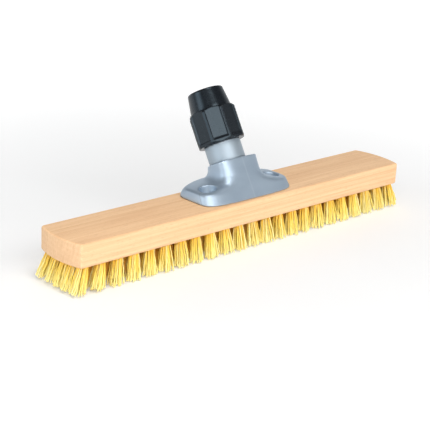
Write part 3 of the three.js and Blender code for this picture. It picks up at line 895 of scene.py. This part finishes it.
# %% Holder sizes
holder_low, holder_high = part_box("handle_holder")
foot_front, foot_base = holder_low.y, holder_low.z
FOOT_HALF = holder_high.x
FOOT_WIDTH = -2 * foot_front
FOOT_SQUARENESS = 5
FOOT_WIDEST = 0.5
FOOT_LIP = 1.2 * MM
TAB_WALL = 7 * MM
TAB_WALL_LEAN = 1.6 * MM
TAB_RIM = 4.7 * MM
TAB_HEIGHT = 9.6 * MM
TAB_ROUNDNESS = 2.3
TAB_RISE = 3.5 * MM
NECK_HALF = 22.8 * MM
NECK_FILLET = 9.2 * MM
NECK_WIDEST = 0.25
NECK_SQUARENESS = 3.4
NECK_ROUNDNESS = 2
NECK_SQUARE_BY = 0.5  # the share of the neck's height by which its front is as square as it gets
FRONT_POWER, FILLET_POWER = 1.5, 3  # the front climbs slowly at first, and the fillet dies out fast
SHOULDER_AT = 30.6 * MM
SHOULDER_DROP = 2 * MM
SHOULDER_ROUND = 0.8 * MM
BORE_RADIUS = 12.3 * MM
THREAD_RADIUS = 15.9 * MM
BARREL_RADIUS = 16.8 * MM
NECK_RADIUS = 18.9 * MM
RING_POINTS = 160


def beside_axis(along, forward):
    """A point of the side view, (y, z), from its place along the axis and in front of it."""
    y = axis_foot.y + along * math.sin(lean) - forward * math.cos(lean)
    z = axis_foot.z + along * math.cos(lean) + forward * math.sin(lean)
    return y, z


def front_at(z):
    return foot_front + (z - block_high.z) * math.tan(lean), z


def back_at(z):
    along_neck = axis_foot.y + NECK_RADIUS / math.cos(lean) + (z - block_high.z) * math.tan(lean)
    return max(foot_front + FOOT_WIDTH, along_neck), z


print("foot:", round(2 * FOOT_HALF / MM, 1), "by", round(FOOT_WIDTH / MM, 1), "mm")

# %% Holder rings
WALL_RINGS, RIM_RINGS, NECK_RINGS, SHOULDER_RINGS = 4, 8, 28, 4


def holder_ring(front, back, half, widest, square_front, square_back):
    """A ring between two points of the side view, flat at the front and rounder at the back."""
    c, s = np.cos(full_turn(RING_POINTS)), np.sin(full_turn(RING_POINTS))
    power = np.where(s < 0, 2 / square_front, 2 / square_back)
    depth = widest + np.sign(s) * np.abs(s) ** power * np.where(s < 0, widest, 1 - widest)
    x = half * np.sign(c) * np.abs(c) ** power
    y = mixed(front[0], back[0], depth)
    z = mixed(front[1], back[1], depth)
    return np.stack([x, y, z], axis=1)


def foot_ring(height, inset):
    square_back = mixed(FOOT_SQUARENESS, TAB_ROUNDNESS, (height / TAB_HEIGHT) ** 2)
    z = foot_base + height
    return holder_ring(front_at(z), back_at(z), FOOT_HALF - inset, FOOT_WIDEST, FOOT_SQUARENESS, square_back)


def neck_ring(share):
    """A ring of the neck, from the tabs at 0 to the shoulder at 1."""
    shoulder_front = beside_axis(SHOULDER_AT - SHOULDER_DROP - SHOULDER_ROUND, NECK_RADIUS)
    shoulder_back = beside_axis(SHOULDER_AT - SHOULDER_ROUND, -NECK_RADIUS)
    tab_top = foot_base + TAB_HEIGHT
    return holder_ring(
        front_at(mixed(tab_top + TAB_RISE, shoulder_front[1], share**FRONT_POWER)),
        back_at(mixed(tab_top, shoulder_back[1], share)),
        NECK_HALF + NECK_FILLET * (1 - share) ** FILLET_POWER,
        mixed(FOOT_WIDEST, NECK_WIDEST, share),
        mixed(FOOT_SQUARENESS, NECK_SQUARENESS, min(1, share / NECK_SQUARE_BY)),
        mixed(TAB_ROUNDNESS, NECK_ROUNDNESS, share),
    )


def shoulder_ring(inset, drop):
    along = SHOULDER_AT - drop
    front = beside_axis(along - SHOULDER_DROP, NECK_RADIUS - inset)
    back = beside_axis(along, inset - NECK_RADIUS)
    return holder_ring(front, back, NECK_HALF - inset, NECK_WIDEST, NECK_SQUARENESS, NECK_ROUNDNESS)


holder_rings = [foot_ring(0, 0), foot_ring(FOOT_LIP, 0)]
for k in range(1, WALL_RINGS + 1):
    share = k / WALL_RINGS
    holder_rings.append(foot_ring(mixed(FOOT_LIP, TAB_WALL, share), TAB_WALL_LEAN * share))
for inset, drop in rounding(1, RIM_RINGS, 1):
    height = mixed(TAB_WALL, TAB_HEIGHT, 1 - drop)
    holder_rings.append(foot_ring(height, TAB_WALL_LEAN + TAB_RIM * inset))
holder_rings += [neck_ring(k / NECK_RINGS) for k in range(NECK_RINGS + 1)]
holder_rings += [shoulder_ring(*fall) for fall in rounding(SHOULDER_ROUND, SHOULDER_RINGS, 1)]
holder_skin = skin("holder_skin", holder_rings)
print("holder skin:", len(holder_rings), "rings")

# %% Wells, socket and mould radii
WELL_RADIUS = 8 * MM
WELL_FLOOR_RADIUS = 6.6 * MM
WELL_FLOOR = 3 * MM
SCREW_HOLE_RADIUS = 2.5 * MM
SEAM_GAP = 0.7 * MM
SEAM_DEPTH = 2.5 * MM
MOULD_GRID = 0.6 * MM
MOULD_SMOOTHING, MOULD_PULL = 11, 0.5  # rounds of smoothing, and how far each goes
WELL_SIDES, SOCKET_SIDES = 64, 96
CUT_BELOW, CUT_ABOVE = 5 * MM, 25 * MM  # how far a well's cutter runs past the foot and the well's floor
SOCKET_CUT_TOP = 50 * MM
seam_floor = SHOULDER_AT - SHOULDER_DROP - SEAM_DEPTH
seam_radius = BARREL_RADIUS + SEAM_GAP
screw_low, screw_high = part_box("holder_screw_right")
screw_x = (screw_low.x + screw_high.x) / 2
screw_y = (screw_low.y + screw_high.y) / 2


def turned(name, profile, sides, place):
    """A mesh turned from a profile about Z, then put in its place."""
    mesh = skin(name, profile_rings(full_turn(sides), profile))
    mesh.transform(place)
    return mesh


def well_cutter(x):
    floor = foot_base + WELL_FLOOR
    profile = [
        (SCREW_HOLE_RADIUS, foot_base - CUT_BELOW),
        (SCREW_HOLE_RADIUS, floor),
        (WELL_FLOOR_RADIUS, floor),
        (WELL_RADIUS, foot_base + TAB_HEIGHT),
        (WELL_RADIUS, floor + CUT_ABOVE),
    ]
    return turned("well", profile, WELL_SIDES, Matrix.Translation((x, screw_y, 0)))


socket_profile = [
    (BORE_RADIUS, SOCKET_FLOOR),
    (BORE_RADIUS, seam_floor),
    (seam_radius, seam_floor),
    (seam_radius, SOCKET_CUT_TOP),
]
socket_cutter = turned("socket", socket_profile, SOCKET_SIDES, to_axis)
holder_body = cut(holder_skin, well_cutter(-screw_x), well_cutter(screw_x), socket_cutter)
holder_body = with_modifiers(
    holder_body,
    ("REMESH", {"mode": "VOXEL", "voxel_size": MOULD_GRID}),
    ("SMOOTH", {"factor": MOULD_PULL, "iterations": MOULD_SMOOTHING}),
)
holder_body.shade_smooth()
print("holder body:", len(holder_body.polygons), "faces")

# %% [markdown]
# ### Barrel and thread
#
# The barrel is turned, not moulded like the neck: a narrow groove parts it from the shoulder, a plain band
# shows below the nut, and a coarse thread above takes the nut. A thread is a radius that waves along the
# axis and shifts with the angle, so rings of that radius make it. The nut uses the same wave with a
# clearance, and the two stay in step when the nut screws up.

# %% Thread
THREAD_PITCH = 4 * MM
THREAD_DEPTH = 1 * MM
THREAD_RUN = 2 * MM  # the length over which the thread fades out at each end
THREAD_START = 46.4 * MM
BARREL_TOP = 73.4 * MM
THREAD_CLEARANCE = 0.3 * MM
TURN_STEPS = 12


def soft_step(value, low, high):
    """0 below low, 1 above high and a smooth climb between, for plain numbers."""
    t = np.clip((value - low) / (high - low), 0, 1)
    return t * t * (3 - 2 * t)


def thread_rings(angle, plain, start, stop, clearance):
    """Rings of a right-hand thread, which fades into a plain radius at both ends."""
    low, high = min(start, stop), max(start, stop)
    steps = int((high - low) / THREAD_PITCH * TURN_STEPS)
    rings = []
    for along in np.linspace(start, stop, steps + 1):
        phase = 2 * math.pi * (along / THREAD_PITCH - angle / (2 * math.pi))
        wave = THREAD_RADIUS - THREAD_DEPTH * (0.5 - 0.5 * np.cos(phase)) + clearance
        inside = soft_step(min(along - low, high - along), 0, THREAD_RUN)
        rings.append(ring_at(angle, mixed(plain, wave, inside), along))
    return rings


print("thread turns:", (BARREL_TOP - THREAD_START) / THREAD_PITCH)

# %% Barrel
MOUTH_DEPTH = 13 * MM
MOUTH_FLARE = 2.2 * MM
BARREL_EDGE = 0.5 * MM
GROOVE_DEPTH = 0.8 * MM
GROOVE_HEIGHT = 0.7 * MM
BARREL_SEAT = 0.2 * MM  # the gap under the barrel, at the bottom of the seam
BARREL_SIDES, BARREL_EDGE_RINGS = 120, 4
barrel_bottom = seam_floor + BARREL_SEAT


def barrel_mesh():
    angle = full_turn(BARREL_SIDES)
    groove_radius = BARREL_RADIUS - GROOVE_DEPTH
    in_front = 0.5 - groove_radius * np.sin(angle) / (2 * NECK_RADIUS)
    groove_top = SHOULDER_AT - SHOULDER_DROP * in_front + GROOVE_HEIGHT
    profile = [
        (BORE_RADIUS, barrel_bottom),
        (groove_radius, barrel_bottom),
        (groove_radius, groove_top),
        (BARREL_RADIUS, groove_top),
    ]
    for inset, drop in rounding(BARREL_EDGE, BARREL_EDGE_RINGS):
        profile.append((BARREL_RADIUS - inset, THREAD_START - drop))
    mouth = [(BORE_RADIUS + MOUTH_FLARE, BARREL_TOP), (BORE_RADIUS, BARREL_TOP - MOUTH_DEPTH)]
    rings = profile_rings(angle, profile)
    rings += thread_rings(angle, THREAD_RADIUS - THREAD_DEPTH, THREAD_START, BARREL_TOP, 0)
    mesh = skin("barrel", rings + profile_rings(angle, mouth), loop=True)
    mesh.transform(to_axis)
    return smooth(mesh, angle=50)


def joined(name, *meshes):
    """One mesh out of several."""
    helpers = [shown(name, mesh) for mesh in meshes]
    with bpy.context.temp_override(active_object=helpers[0], selected_editable_objects=helpers):
        bpy.ops.object.join()
    made = helpers[0].data
    bpy.data.objects.remove(helpers[0])
    return made


holder_mesh = joined("holder", holder_body, barrel_mesh())
add_piece("holder", holder_mesh, grey_moulding, "brush_head", "grey_moulding", "handle_holder")

# %% [markdown]
# ## Clamp nut
#
# The nut has an eight-sided grip with a sunk panel in each side, a ridge between panels and a rim below,
# under a smooth tapered cap. Cutting panels with Booleans leaves edges that are hard to round. Here each
# ring asks for the distance of the surface from the axis, side by side: the flat, less the panel where it
# is sunk, and never outside the chamfer. The steps of the panel's edges are smooth, so the moulding's small
# radii come with them.

# %% Nut sizes
NUT_BOTTOM = 46.7 * MM
GRIP_TOP = NUT_BOTTOM + 31.8 * MM
NUT_TOP = GRIP_TOP + 18.8 * MM
GRIP_SIDES = 8
GRIP_FLAT = 21.2 * MM
PANEL_DEPTH = 1.1 * MM
RIDGE_WIDTH = 3.4 * MM
NUT_RIM = 3.2 * MM
PANEL_EDGE = 0.45 * MM
TOP_CHAMFER = 2.4 * MM
BOTTOM_CHAMFER = 1.2 * MM
CORNER_ROUND = 0.5 * MM
RIDGE_POINTS, EDGE_POINTS, PANEL_POINTS = 4, 7, 9
PANEL_SPAN = 0.8  # the share of a panel's width that its evenly spread points cover
NUT_TURN = math.radians(6)
grip_half = GRIP_FLAT * math.tan(math.pi / GRIP_SIDES)
grip_corner = GRIP_FLAT / math.cos(math.pi / GRIP_SIDES)
panel_half = grip_half - RIDGE_WIDTH / 2
side_offsets = np.concatenate([
    np.linspace(-grip_half, -panel_half - PANEL_EDGE, RIDGE_POINTS, endpoint=False),
    np.linspace(-panel_half - PANEL_EDGE, -panel_half + PANEL_EDGE, EDGE_POINTS),
    np.linspace(-panel_half * PANEL_SPAN, panel_half * PANEL_SPAN, PANEL_POINTS),
    np.linspace(panel_half - PANEL_EDGE, panel_half + PANEL_EDGE, EDGE_POINTS),
    np.linspace(panel_half + PANEL_EDGE, grip_half, RIDGE_POINTS, endpoint=False)[1:],
])
side_turn = np.repeat(NUT_TURN + full_turn(GRIP_SIDES), len(side_offsets))
nut_offset = np.tile(side_offsets, GRIP_SIDES)
nut_angle = np.arctan(nut_offset / GRIP_FLAT) + side_turn
print("nut:", len(nut_angle), "points round")

# %% Grip rings
CHAMFER_RINGS = 4
RIM_RING = 1.8 * MM  # the height of a ring partway up the rim
PANEL_START = 2 * MM  # from the rim's top to the first even ring of the panels


def grip_ring(along):
    """The grip at a height: flats with sunk panels, kept inside the chamfered round."""
    across = soft_step(panel_half - np.abs(nut_offset), -PANEL_EDGE, PANEL_EDGE)
    above_rim = soft_step(along - NUT_BOTTOM - NUT_RIM, -PANEL_EDGE, PANEL_EDGE)
    distance = GRIP_FLAT - PANEL_DEPTH * across * above_rim
    limit = grip_corner - CORNER_ROUND
    limit -= max(0, NUT_BOTTOM + BOTTOM_CHAMFER - along)
    limit -= max(0, along - (GRIP_TOP - TOP_CHAMFER))
    distance = np.minimum(distance, np.sqrt(limit**2 - nut_offset**2))
    x = distance * np.cos(side_turn) - nut_offset * np.sin(side_turn)
    y = distance * np.sin(side_turn) + nut_offset * np.cos(side_turn)
    return np.stack([x, y, np.full(x.shape, along)], axis=1)


rim_top = NUT_BOTTOM + NUT_RIM
grip_heights = np.concatenate([
    np.linspace(NUT_BOTTOM, NUT_BOTTOM + BOTTOM_CHAMFER, CHAMFER_RINGS),
    [NUT_BOTTOM + RIM_RING],
    np.linspace(rim_top - PANEL_EDGE, rim_top + PANEL_EDGE, EDGE_POINTS),
    np.linspace(rim_top + PANEL_START, GRIP_TOP - TOP_CHAMFER, PANEL_POINTS),
    np.linspace(GRIP_TOP - TOP_CHAMFER, GRIP_TOP, EDGE_POINTS)[1:],
])
grip_rings = [grip_ring(along) for along in grip_heights]
print("grip:", len(grip_rings), "rings")

# %% Cap, mouth and inner thread
CAP_STEP = 2.2 * MM
CAP_TAPER = 2.3 * MM
CAP_LIP = 2 * MM
CAP_FILLET = 0.5 * MM
MOUTH_RADIUS = 12.6 * MM
MOUTH_LENGTH = 6 * MM
CONE_START = 76.7 * MM
NUT_BORE = 16.2 * MM
THREAD_LEAD = 1 * MM  # the plain bore below the inner thread
FILLET_RINGS, TAPER_RINGS, LIP_RINGS, MOUTH_RINGS = 3, 6, 8, 4
cap_foot = GRIP_FLAT - CAP_STEP
cap_top = cap_foot - CAP_TAPER


def cap_profile():
    """From the grip's top in to the cap, up its taper, over the lip and down the mouth and cone."""
    profile = [(cap_foot + drop, GRIP_TOP + inset) for inset, drop in rounding(CAP_FILLET, FILLET_RINGS)]
    for k in range(1, TAPER_RINGS):
        share = k / TAPER_RINGS
        rise = mixed(GRIP_TOP + CAP_FILLET, NUT_TOP - CAP_LIP, share)
        profile.append((mixed(cap_foot, cap_top, share), rise))
    for inset, drop in rounding(CAP_LIP, LIP_RINGS):
        profile.append((cap_top - inset, NUT_TOP - drop))
    for inset, drop in rounding(CAP_FILLET, MOUTH_RINGS, 1):
        profile.append((MOUTH_RADIUS + drop, NUT_TOP - inset))
    return profile + [(MOUTH_RADIUS, NUT_TOP - MOUTH_LENGTH), (NUT_BORE, CONE_START)]


nut_rings = grip_rings + profile_rings(nut_angle, cap_profile())
nut_rings += thread_rings(nut_angle, NUT_BORE, BARREL_TOP, NUT_BOTTOM + THREAD_LEAD, THREAD_CLEARANCE)
nut_rings += [ring_at(nut_angle, NUT_BORE, NUT_BOTTOM)]
nut_mesh = skin("nut", nut_rings, loop=True)
nut_mesh.transform(to_axis)
add_piece("nut", smooth(nut_mesh, angle=38), black_moulding, "nut", "black_moulding", "clamp_nut")

# %% [markdown]
# ## Clamp collet
#
# The collet is a split ring: its nose sits in the barrel's flared mouth, and the nut's cone presses its
# top. Only its bore shows, down the nut's mouth. A section swept round the axis, stopping short of the
# slot, makes the ring and the slot's two walls in one go.

# %% Collet
COLLET_SLOT = 2.2 * MM
COLLET_NOSE = 10 * MM
COLLET_COLLAR = 3 * MM
COLLET_TOP = 90.7 * MM
COLLET_STEPS = 90
SLOT_AT = math.pi / 2
COLLET_GAP = 0.3 * MM
COLLAR_CHAMFER = 0.3 * MM
COLLET_EDGE = 0.1 * MM
nose_rim = BORE_RADIUS + MOUTH_FLARE - COLLET_GAP
nose_slope = MOUTH_FLARE / MOUTH_DEPTH
cone_slope = (NUT_BORE - MOUTH_RADIUS) / (NUT_TOP - MOUTH_LENGTH - CONE_START)
collar_foot = BARREL_TOP + COLLET_GAP
collar_top = BARREL_TOP + COLLET_COLLAR
collar_radius = NUT_BORE - THREAD_CLEARANCE
top_radius = collar_radius - cone_slope * (COLLET_TOP - collar_top)
collet_section = [
    (BORE_RADIUS, BARREL_TOP - COLLET_NOSE),
    (nose_rim - nose_slope * COLLET_NOSE, BARREL_TOP - COLLET_NOSE),
    (nose_rim, collar_foot),
    (collar_radius - COLLAR_CHAMFER, collar_foot),
    (collar_radius, collar_foot + COLLAR_CHAMFER),
    (collar_radius, collar_top),
    (top_radius, COLLET_TOP - COLLET_EDGE),
    (BORE_RADIUS + COLLET_EDGE, COLLET_TOP),
    (BORE_RADIUS, COLLET_TOP - COLLET_EDGE),
]


def collet_mesh():
    half_slot = math.asin(COLLET_SLOT / 2 / BORE_RADIUS)
    turns = SLOT_AT + np.linspace(half_slot, 2 * math.pi - half_slot, COLLET_STEPS)
    sections = [[(r * math.cos(a), r * math.sin(a), h) for r, h in collet_section] for a in turns]
    mesh = skin("collet", [np.array(section) for section in sections])
    mesh.transform(to_axis)
    return smooth(mesh, angle=30)


add_piece("collet", collet_mesh(), pale_nylon, "collet", "pale_nylon", "clamp_collet")

# %% [markdown]
# ## Wood screws
#
# Two screws stand at the bottom of the wells. One is turned with a domed head and a cross recess, and a
# small tree of Geometry Nodes sets it on both places: the recess of each is turned its own way, as screws
# are when driven.

# %% One screw
SCREW_LENGTH = 16 * MM
HEAD_RADIUS = 4.5 * MM
HEAD_HEIGHT = 2.8 * MM
SHANK_RADIUS = 2.2 * MM
SCREW_POINT = 5 * MM
SCREW_PITCH = 1.8 * MM
RECESS_DEPTH = 1.5 * MM
RECESS_HALF = 0.6 * MM
RECESS_REACH = 2.5 * MM
RECESS_EDGE, RECESS_END = 0.15 * MM, 0.4 * MM  # half the width of the slopes at its sides and ends
HEAD_EDGE = 0.2 * MM
SCREW_TIP = 0.06  # radius of the tip, as a share of the shank's
SCREW_THREAD = 0.14  # half the thread's depth, as a share of the shank's radius
HEAD_CENTRE = 0.01  # radius of the innermost ring, as a share of the head's
SCREW_SIDES, SHANK_RINGS, HEAD_RINGS = 96, 90, 34
screw_seat = screw_high.z - HEAD_HEIGHT


def head_ring(radius, angle):
    """A ring of the head's top: a dome with a cross sunk into it."""
    x, y = radius * np.cos(angle), radius * np.sin(angle)
    dome = HEAD_HEIGHT / 2 * (1 + math.sqrt(max(0, 1 - (radius / HEAD_RADIUS) ** 2)))
    arm = np.minimum(np.abs(x), np.abs(y))
    inside = soft_step(RECESS_HALF - arm, -RECESS_EDGE, RECESS_EDGE)
    inside = inside * soft_step(RECESS_REACH - radius, -RECESS_END, RECESS_END)
    return np.stack([x, y, dome - RECESS_DEPTH * inside], axis=1)


def screw_mesh():
    """A screw whose head stands on Z = 0."""
    angle = full_turn(SCREW_SIDES)
    rings = []
    for along in np.linspace(-SCREW_LENGTH, 0, SHANK_RINGS):
        core = SHANK_RADIUS * min(1, SCREW_TIP + (along + SCREW_LENGTH) / SCREW_POINT)
        wave = np.cos(2 * math.pi * (along / SCREW_PITCH - angle / (2 * math.pi)))
        rings.append(ring_at(angle, core * (1 - SCREW_THREAD + SCREW_THREAD * wave), along))
    rings += profile_rings(angle, [(HEAD_RADIUS - HEAD_EDGE, 0), (HEAD_RADIUS, HEAD_EDGE)])
    rings += [head_ring(radius, angle) for radius in HEAD_RADIUS * np.linspace(1, HEAD_CENTRE, HEAD_RINGS)]
    return smooth(skin("screw", rings), angle=50)


print("screw seat at", round(screw_seat / MM, 2), "mm")

# %% Both screws
SCREW_TURNS = (0.35, 1.1)


def screws_mesh():
    pattern = shown("screw_pattern", screw_mesh())
    rule = Rule("screws")
    screw = rule.input("Screw", pattern, "Object")
    spacing = rule.input("Spacing", 2 * screw_x)
    first_turn = rule.input("Turn of the first", SCREW_TURNS[0])
    second_turn = rule.input("Turn of the second", SCREW_TURNS[1])
    number = rule.node("GeometryNodeInputIndex")
    place = rule.vector((number - 0.5) * spacing, screw_y, screw_seat)
    points = rule.node("GeometryNodePoints", {}, {"Count": 2, "Position": place})
    shape = rule.node("GeometryNodeObjectInfo", {}, {"Object": screw}, "Geometry")
    turn = rule.vector(0, 0, first_turn + number * (second_turn - first_turn))
    sockets = {"Points": points, "Instance": shape, "Rotation": turn}
    made = rule.mesh(rule.node("GeometryNodeInstanceOnPoints", {}, sockets), zinc_steel)
    bpy.data.objects.remove(pattern)
    return made


screw_nodes = ("holder_screw_left", "holder_screw_right")
add_piece("screws", screws_mesh(), zinc_steel, "brush_head", "zinc_steel", *screw_nodes)

# %% [markdown]
# ## Floor and light
#
# The brush stands on a plain pale floor, which glows a little more with distance, so that it fades into a
# white surround. The photograph's light is soft and comes mostly from behind the camera. One long panel
# there is the main light, a square one overhead lights the top, and a low one in front reaches into the
# gaps between the tufts. A weak one at the back lifts the far side, and a cool one from the left draws the
# highlight down the neck. An even surround would flatten the shading, so it is bright at the horizon and
# dim above.

# %% Floor
FLOOR_SIZE = 24
NEAR_GLOW, FAR_GLOW = (0.22, 0.22, 0.22), (0.85, 0.85, 0.85)
GLOW_RANGE = (0.1, 1.1)  # metres from the middle of the brush
PALE, PALER = (0.74, 0.74, 0.74), (0.77, 0.77, 0.77)
FLOOR_DEPTH = 0.02 * MM


def floor_finish():
    floor = Finish("pale_floor", {"Specular IOR Level": 0.2, "Emission Strength": 1})
    x, y = floor.parts(floor.place)[:2]
    far = floor.step((x**2 + y**2) ** 0.5, *GLOW_RANGE)
    floor.feed(floor.shader.inputs["Emission Color"], floor.mix(far, NEAR_GLOW, FAR_GLOW))
    clouds = floor.noise((6, 6, 6), 3)
    return floor.finish(floor.mix(clouds, PALE, PALER), 0.7 + clouds * 0.1, clouds, FLOOR_DEPTH)


side = FLOOR_SIZE / 2
corners = [(-side, -side, 0), (side, -side, 0), (side, side, 0), (-side, side, 0)]
floor_mesh = bpy.data.meshes.new("floor")
floor_mesh.from_pydata(corners, [], [(0, 1, 2, 3)])
floor_mesh.materials.append(floor_finish())
shown("floor", floor_mesh)

# %% Light
NEAR_WHITE, COOL_WHITE = (1, 0.99, 0.98), (0.85, 0.94, 1)
PANELS = {  # place, target, width and height in metres, power in watts, colour
    "front_panel": ((-0.72, -1.6, 1.28), (0, 0, 0.05), 2.8, 0.7, 31.5, NEAR_WHITE),
    "high_panel": ((-0.2, -0.6, 2.1), (0, 0, 0), 0.8, 0.8, 19, NEAR_WHITE),
    "low_panel": ((-0.5, -2.1, 0.25), (0, 0, 0.03), 2.0, 0.4, 4.2, NEAR_WHITE),
    "back_panel": ((1.5, 1.2, 1.0), (0, 0, 0), 2.0, 0.7, 4, NEAR_WHITE),
    "left_panel": ((-1.76, 0.31, 0.58), (0, 0, 0.1), 1.2, 0.75, 7.5, COOL_WHITE),
}
SURROUND_COLOUR = (0.95, 0.975, 1, 1)
HORIZON, ZENITH = 0.7, 0.08  # strengths of the surround
DIMMING = (0.25, 0.6)  # heights of the line of sight between which it dims


def panel(name, place, target, width, height, power, colour):
    """A flat light that faces a target."""
    light = bpy.data.lights.new(name, "AREA")
    light.shape = "RECTANGLE"
    light.size = width
    light.size_y = height
    light.energy = power
    light.color = colour
    lamp = shown(name, light)
    direction = Vector(target) - Vector(place)
    turn = direction.to_track_quat("-Z", "Y").to_matrix().to_4x4()
    lamp.matrix_world = Matrix.Translation(place) @ turn


for name, values in PANELS.items():
    panel(name, *values)
world = bpy.data.worlds.new("surround")
world.use_nodes = True
surround = Tree(world.node_tree)
background = world.node_tree.nodes["Background"]
background.inputs["Color"].default_value = SURROUND_COLOUR
look_up = surround.parts(surround.node("ShaderNodeTexCoord", {}, {}, "Generated"))[2]
strength = HORIZON + (ZENITH - HORIZON) * surround.step(look_up, *DIMMING)
surround.feed(background.inputs["Strength"], strength)
scene.world = world
print("lights:", [light.name for light in bpy.data.lights])
